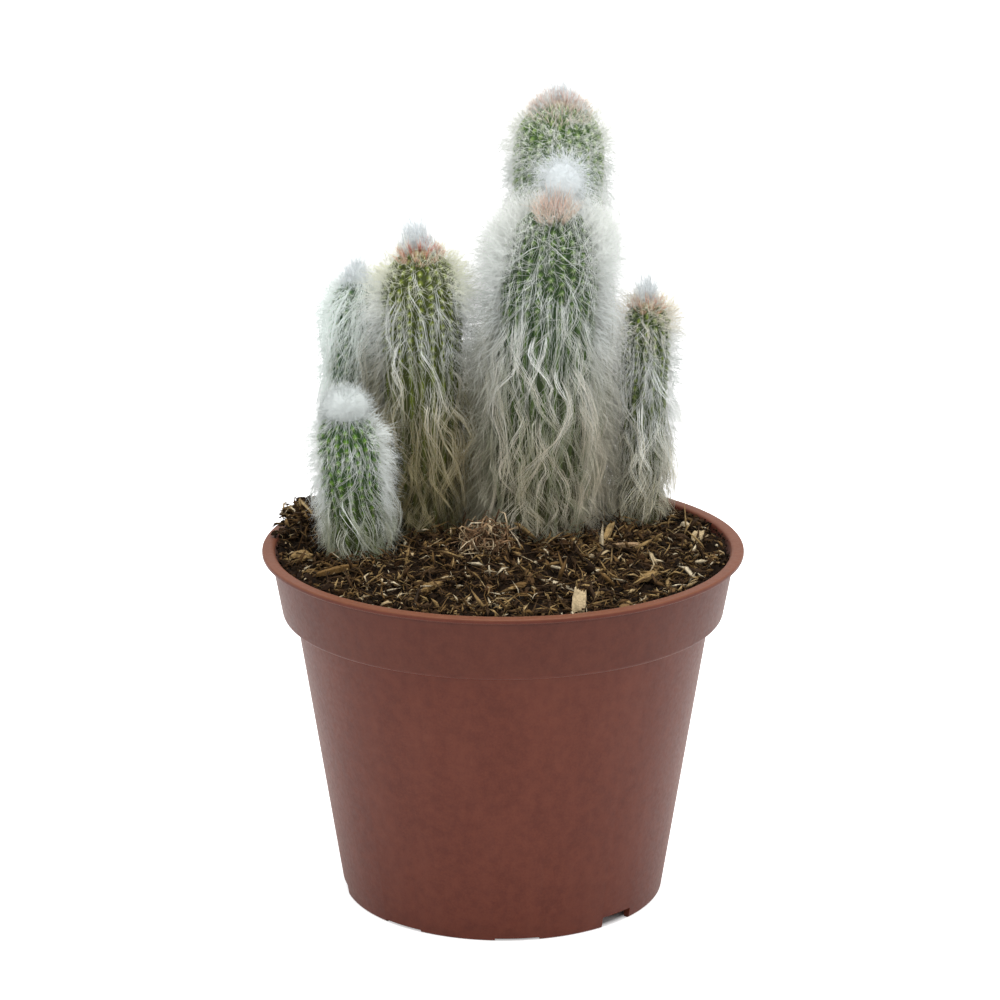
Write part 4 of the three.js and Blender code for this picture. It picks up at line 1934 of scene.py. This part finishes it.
# the short fine hair that lies over a stem's skin
FINE = Layer(200, per_lock=4, length=(6, 13), loft=(1.2, 4.6), throw=(3, 7), depth=(1, 5),
             thin=0.3, skew=0.9, stray=0.5, wave=(0.1, 0.8), spread=0.5, upward=0.4, width=0.044,
             steps=4, glow=0.33)

PLANS = (
    StemPlan(
        "front", 26,
        Flesh("flesh_front", rgb(46, 70, 32), rgb(126, 162, 82), rgb(196, 190, 160)),
        Hair("hair_front", deep=rgb(106, 116, 80)),
        Halo(4850, (5, 12), (40, 85), rest=1.0, lift=(1.15, -0.6), crest=2.2, cream=0.1, drape=0.88,
             glow=0.6),
        replace(FINE, locks=260, depth=(1, 6), length=(10, 20), loft=(0.8, 3.4), thin=0.6),
        Layer(290, loft=(1.4, 11), sweep=0.14, glow=0.5),
        Tuft(TuftShape.BALL, 5.4, 6.0, 2600, (1.4, 8.5), 620, (3.6, 7.4), (0, 20), flat=1.05,
             shift=(2.2, 1.5), glow=0.32, areoles=20, forward=24),
        Spine("spine_front", rgb(214, 158, 140), rgb(244, 216, 200), rgb(244, 222, 204))),
    StemPlan(
        "left", 22,
        Flesh("flesh_left", rgb(60, 70, 18), rgb(152, 170, 54), rgb(204, 184, 140)),
        Hair("hair_left", old=rgb(196, 184, 144), stain=rgb(134, 114, 76), deep=rgb(92, 90, 46),
             cream=rgb(232, 230, 186)),
        Halo(2750, (3, 8), (30, 85), rest=1.1, lift=(0.9, -0.6), crest=1.3, cream=0.5, glow=0.56),
        replace(FINE, locks=110, depth=(0.2, 3), length=(12, 24), loft=(1.4, 4.4)),
        Layer(190, loft=(1.2, 7.8)),
        Tuft(TuftShape.PLUME, 4.8, 12.5, 1600, (3, 12.5), 620, (2.2, 4.4), (3, 34), shift=(-4.0, 1),
             areoles=24, forward=10),
        Spine("spine_left", rgb(176, 52, 38), rgb(208, 112, 90), rgb(222, 172, 144)),
        old=(14, 55)),
    StemPlan(
        "right", 16,
        Flesh("flesh_right", rgb(56, 74, 28), rgb(150, 172, 76), rgb(196, 180, 140)),
        Hair("hair_right", old=rgb(232, 224, 192), cream=rgb(236, 222, 192)),
        Halo(1650, (3.2, 8.2), (34, 85), rest=0.75, crest=0.5, cream=0.6, drape=0.7),
        replace(FINE, locks=120, length=(8, 16), loft=(1, 3.4)),
        Layer(115, length=(14, 34), loft=(1.0, 6.4), sweep=-0.05, glow=0.65),
        Tuft(TuftShape.PLUME, 3.0, 12, 900, (3, 12.5), 400, (1.8, 3.6), (4, 44), areoles=18,
             forward=8),
        Spine("spine_right", rgb(190, 84, 52), rgb(218, 138, 104), rgb(226, 178, 146))),
    StemPlan(
        "front_left", 18,
        Flesh("flesh_front_left", rgb(40, 74, 18), rgb(130, 182, 56), rgb(190, 200, 160)),
        Hair("hair_front_left", old=rgb(204, 204, 172), deep=rgb(98, 114, 68)),
        Halo(1200, (2.4, 5.8), (22, 60), rest=0.5, lift=(0.1, -1.0), crest=0.2, cream=0.0, drape=0.92,
             glow=0.66),
        replace(FINE, locks=110, depth=(3, 7), length=(6, 14), loft=(0.6, 2.6)),
        Layer(70, length=(10, 28), loft=(0.9, 4.6), depth=(8, 22), sweep=0.2, glow=0.25),
        Tuft(TuftShape.BALL, 7.0, 1.3, 3700, (0.9, 4.2), flat=0.76, glow=0.11),
        Spine("spine_front_left", rgb(200, 190, 160), rgb(226, 218, 196), rgb(226, 218, 196)),
        old=(14, 45)),
    StemPlan(
        "back", 26,
        Flesh("flesh_back", rgb(68, 98, 46), rgb(166, 198, 110), rgb(214, 196, 176)),
        Hair("hair_back"),
        Halo(2800, (2.6, 6.6), (34, 80), rest=0.4, lift=(0.6, -0.5), crest=0.5, cream=0.2, drape=0.2),
        replace(FINE, locks=200, depth=(1, 6), length=(6, 14)),
        Layer(150, loft=(1.2, 6.4), depth=(12, 34), glow=0.55),
        Tuft(TuftShape.PLUME, 7.8, 8.5, 2300, (1.5, 6.5), 1000, (2.2, 4.8), (0, 44), areoles=60,
             forward=12),
        Spine("spine_back", rgb(214, 170, 160), rgb(236, 212, 204), rgb(236, 222, 210))),
    StemPlan(
        "rear_left", 16,
        Flesh("flesh_rear_left", rgb(48, 76, 44), rgb(116, 152, 98), rgb(206, 214, 206)),
        Hair("hair_rear_left", young=rgb(236, 244, 241), old=rgb(216, 218, 206)),
        Halo(1300, (3.2, 7.5), (22, 60), rest=0.4, lift=(0.5, -1.0), crest=1.0, cream=0.0, drape=0.62,
             glow=0.85),
        replace(FINE, locks=420, depth=(0, 0.5), length=(10, 26), loft=(1.2, 5.0), thin=0.1, reach=12,
                sweep=-0.5, glow=1.0),
        Layer(120, length=(16, 38), loft=(1.2, 6.6), depth=(0, 4), sweep=-0.2, wave=(0.3, 1.2),
              glow=0.6),
        Tuft(TuftShape.PLUME, 5.0, 9, 1300, (3.0, 10)),
        Spine("spine_rear_left", rgb(210, 200, 180), rgb(230, 222, 206), rgb(230, 222, 206))),
)


def grow_stems(mix: PottingMix) -> None:
    """Builds and shows every stem with its bristles, its coat and its tip.

    Args:
        mix: The potting mix that the stems stand in.
    """
    forms = {plan.name: StemForm.read(plan.name, plan.ribs) for plan in PLANS}
    bristle = Spine("bristle", rgb(190, 198, 164), rgb(222, 226, 206), rgb(210, 214, 190)).make()
    wool = Wool().make()
    for number, plan in enumerate(PLANS):
        form = forms[plan.name]
        others = [other for name, other in forms.items() if name != plan.name]
        skin = StemSkin(form, plan.flesh)
        skin.dress()
        Bristles(skin, seed=number).dress(bristle)
        coat = HairCoat(form, plan.halo, (plan.down, plan.coat), others, mix, plan.old, 20 + number)
        coat.dress(plan.hair.make())
        Crown(form, plan.tuft, seed=40 + number).dress(plan.crown.make(), wool)


# ---- loose pieces


class Kind(Enum):
    """What a loose piece is."""

    CHIP = "chip"
    STICK = "stick"
    LUMP = "lump"
    TANGLE = "tangle"
    GRAIN = "grain"


# how ragged split wood is at its ends, and how much it narrows towards them
SPLIT = {Kind.CHIP: (0.34, 0.22), Kind.STICK: (0.2, 0.3)}
BARK = Wood("bark_fibre", ((0.0, rgb(46, 30, 18)), (0.35, rgb(112, 82, 54)),
                           (0.6, rgb(166, 132, 98)), (0.85, rgb(216, 190, 150)),
                           (1.0, rgb(240, 222, 188))))


@dataclass(frozen=True)
class LoosePiece:
    """One loose piece lying on the mix: a solid in the frame and how it is finished."""

    node: str
    kind: Kind
    tint: float

    def frame_of(self) -> tuple[Matrix, Vector]:
        """The solid's own axes and half sizes, longest first.

        Returns:
            The place and turn of the solid, and half of its length, width and thickness.
        """
        points = np.array([vert.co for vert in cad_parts[self.node].data.vertices])
        middle = (points.max(0) + points.min(0)) / 2
        _, _, axes = np.linalg.svd(points - points.mean(0), full_matrices=False)
        if np.linalg.det(axes) < 0:
            axes[2] *= -1
        reach = (points - middle) @ axes.T
        half = (reach.max(0) - reach.min(0)) / 2
        shift = middle + (reach.max(0) + reach.min(0)) / 2 @ axes
        turn = Matrix([list(row) for row in axes]).transposed().to_4x4()
        return Matrix.Translation(Vector(shift)) @ turn, Vector(half)

    def slab(self, ragged: float, taper: float) -> BMesh:
        """A split piece of wood with ragged ends and fluted faces.

        Args:
            ragged: How ragged its ends are.
            taper: How much it narrows towards them.

        Returns:
            The piece, one unit to each side.
        """
        bm = bmesh.new()
        bmesh.ops.create_cube(bm, size=2.0)
        bmesh.ops.subdivide_edges(bm, edges=bm.edges, cuts=9, use_grid_fill=True)
        offset = Vector((len(self.node) * 3.7, 0, 0))
        for vert in bm.verts:
            along, across, up = vert.co
            end = abs(along) ** 3
            flute = 0.3 * noise.noise(Vector((along * 0.6, across * 4.0, 0)) + offset)
            bow = 0.3 * noise.noise(Vector((along * 1.3, 7, 3)) + offset)
            narrow = 1 - taper * end - 0.3 * abs(noise.noise(Vector((along * 1.6, 0, 3)) + offset))
            jag = ragged * noise.noise(Vector((across * 3.0, up * 0.7, along)) + offset) * end
            vert.co = Vector((along * (1 - ragged) + jag + 0.1 * across * along,
                              across * narrow + 0.6 * bow, up * (1 - 0.5 * end) + flute))
        return bm

    def lump(self) -> BMesh:
        """A rounded uneven lump.

        Returns:
            The lump, one unit to each side.
        """
        bm = bmesh.new()
        bmesh.ops.create_icosphere(bm, subdivisions=4, radius=1.0)
        rough = 0.1 if self.kind is Kind.GRAIN else 0.32
        for vert in bm.verts:
            spot = vert.co + Vector((len(self.node) * 1.9, 0, 0))
            vert.co *= 1 + rough * noise.noise(spot * 1.7) + 0.5 * rough * noise.noise(spot * 4.5)
        return bm

    def tangle(self, place: Matrix, half: Vector) -> Mesh:
        """A matted tangle of fibres that fills the solid's outline.

        Args:
            place: The solid's place and turn.
            half: Its half sizes.

        Returns:
            The mesh.
        """
        rng = np.random.default_rng(17)
        count, steps = 460, 5
        middle = unit(rng.normal(0, 1, (count, 3))) * rng.uniform(0, 1, (count, 1)) ** 0.4
        middle = middle * np.array(half) * np.array([1.45, 1.45, 1.8])
        heading = unit(rng.normal(0, 1, (count, 3)) * np.array([1.2, 1, 0.9]))
        length = rng.uniform(2, 7.5, (count, 1, 1)) * MM
        share = np.linspace(-0.5, 0.5, steps)[None, :, None]
        bend = rng.normal(0, 0.35, (count, 1, 3)) * length * (1 - (2 * share) ** 2)
        local = middle[:, None, :] + heading[:, None, :] * length * share + bend
        turn = np.array(place.to_3x3())
        paths = local @ turn.T + np.array(place.translation)
        widths = rng.uniform(0.08, 0.34, (count, 1)) * MM * np.array([0.6, 1, 1, 0.9, 0.4])
        tint = np.clip(rng.normal(self.tint, 0.26, count), 0, 1)
        return Strands(paths, widths, {"tint": tint}, flatness=0.7).mesh(f"{self.node}_fibres")

    def build(self) -> Mesh:
        """Makes the finished piece where its solid lies.

        Returns:
            Its mesh, carrying its tint.
        """
        place, half = self.frame_of()
        if self.kind is Kind.TANGLE:
            return self.tangle(place, half)
        bm = self.slab(*SPLIT[self.kind]) if self.kind in SPLIT else self.lump()
        carry(bm, "tint", self.tint)
        bm.transform(place @ Matrix.Diagonal((*half, 1)))
        bmesh.ops.recalc_face_normals(bm, faces=bm.faces)
        return to_mesh(bm, f"{self.node}_finished", crease=50)

    def dress(self, wood: Material) -> None:
        """Shows the piece, in this finish."""
        show(f"{self.node}_finished", self.build(), wood, [self.node])


@dataclass(frozen=True)
class LoosePieces:
    """Every loose piece on the mix."""

    wood: Material
    pieces: tuple = (
        LoosePiece("wood_chip_front", Kind.CHIP, 0.88),
        LoosePiece("wood_chip_front_left", Kind.CHIP, 0.6),
        LoosePiece("wood_chip_front_middle", Kind.CHIP, 0.45),
        LoosePiece("wood_chip_front_right", Kind.CHIP, 0.66),
        LoosePiece("wood_chip_right", Kind.CHIP, 0.86),
        LoosePiece("stick_back", Kind.STICK, 0.78),
        LoosePiece("splinter_reddish", Kind.STICK, 0.68),
        LoosePiece("stick_left", Kind.STICK, 0.5),
        LoosePiece("bark_lump_left", Kind.LUMP, 0.66),
        LoosePiece("fibre_tangle", Kind.TANGLE, 0.6),
        LoosePiece("pale_grain", Kind.GRAIN, 0.97),
    )

    def dress(self) -> None:
        """Shows them all in wood, each by its own tint, and the reddish ones in bark."""
        bark = BARK.make()
        for piece in self.pieces:
            reddish = piece.kind is Kind.TANGLE or piece.node == "splinter_reddish"
            piece.dress(bark if reddish else self.wood)


# ---- studio


@dataclass(frozen=True)
class TableTop(Finish):
    """A white table top, lit from within but not under the pot."""

    name: str = "table_top"
    colour: Colour = (0.9, 0.9, 0.9, 1.0)
    lit_from: tuple[float, float] = (38 * MM, 41 * MM)  # how far out it starts, and is in full
    as_light: float = 0.2
    to_the_eye: float = 0.92

    def wire(self, bench: Bench) -> dict[str, Wire]:
        """The table's plain white and the light from within it.

        Args:
            bench: The material's nodes.

        Returns:
            What each of the shader's inputs gets.
        """
        flat = bench.add("VectorMath", {0: bench.place(), 1: (1, 1, 0)}, operation="MULTIPLY")
        away = bench.add("VectorMath", {0: flat.outputs["Vector"]}, operation="LENGTH")
        clear = bench.spread(away.outputs["Value"], *self.lit_from)
        seen = bench.add("LightPath").outputs["Is Camera Ray"]
        return {"Base Color": self.colour, "Roughness": 0.9,
                "Emission Color": bench.mix(clear, BLACK, WHITE),
                "Emission Strength": bench.spread(seen, 0, 1, self.as_light, self.to_the_eye)}


@dataclass(frozen=True)
class Studio:
    """A plain white table and soft light, with the camera in front and a little above."""

    camera_distance: float = 0.880
    camera_side: float = -0.00075
    camera_height: float = 0.3602
    pitch: float = 16.405
    lens: float = 132.93

    def camera(self) -> None:
        """Places the camera."""
        data = bpy.data.cameras.new("camera")
        data.lens = self.lens
        data.sensor_width = 36.0
        data.clip_start = 0.05
        data.clip_end = 20.0
        camera = link("camera", data)
        camera.location = (self.camera_side, -self.camera_distance, self.camera_height)
        camera.rotation_euler = (math.radians(90 - self.pitch), 0, 0)
        bpy.context.scene.camera = camera

    def lamp(self, name: str, place: Sequence[float], aim: Sequence[float], size: float,
             power: float) -> None:
        """Hangs one soft square lamp.

        Args:
            name: The lamp's name.
            place: Where it hangs.
            aim: What it points at.
            size: The length of its sides.
            power: Its power in watts.
        """
        data = bpy.data.lights.new(name, "AREA")
        data.size = size
        data.energy = power
        lamp = link(name, data)
        lamp.location = place
        lamp.rotation_euler = (Vector(aim) - Vector(place)).to_track_quat("-Z", "Y").to_euler()

    def floor(self) -> None:
        """Lays the pale table top."""
        bm = bmesh.new()
        bmesh.ops.create_grid(bm, x_segments=1, y_segments=1, size=4.0)
        bmesh.ops.translate(bm, verts=bm.verts, vec=(0, 0, -0.05 * MM))
        mesh = bpy.data.meshes.new("table_top")
        bm.to_mesh(mesh)
        bm.free()
        mesh.materials.append(TableTop().make())
        floor = link("table_top", mesh)

    def surroundings(self) -> None:
        """A white room, full white to the eye and dimmer as a light."""
        world = bpy.data.worlds.new("white_room")
        bpy.context.scene.world = world
        world.use_nodes = True
        tree = world.node_tree
        tree.nodes.clear()
        bench = Bench(tree)
        seen = bench.add("LightPath").outputs["Is Camera Ray"]
        glow = bench.add("Background", {"Color": WHITE,
                                        "Strength": bench.spread(seen, 0, 1, 0.66, 1.0)})
        bench.add("OutputWorld", {"Surface": glow.outputs["Background"]})

    def build(self) -> None:
        """Sets up the whole studio."""
        self.camera()
        self.floor()
        self.surroundings()
        view = bpy.context.scene.view_settings
        view.view_transform = "Standard"
        view.look = "None"
        middle = (0, 0, 0.1)
        self.lamp("overhead", (0.05, -0.12, 0.95), middle, 0.6, 5.6)
        self.lamp("right", (0.8, -0.25, 0.45), middle, 0.5, 1.0)
        self.lamp("left", (-0.8, -0.45, 0.45), middle, 0.5, 0.5)


def main() -> None:
    """Builds the whole cactus in order."""
    logging.basicConfig(level=logging.INFO, format="%(name)s %(message)s")
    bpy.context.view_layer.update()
    Studio().build()
    Pot().dress()
    mix = PottingMix()
    wood = Wood().make()
    mix.dress(wood)
    grow_stems(mix)
    LoosePieces(wood).dress()


if __name__ == "__main__":
    main()
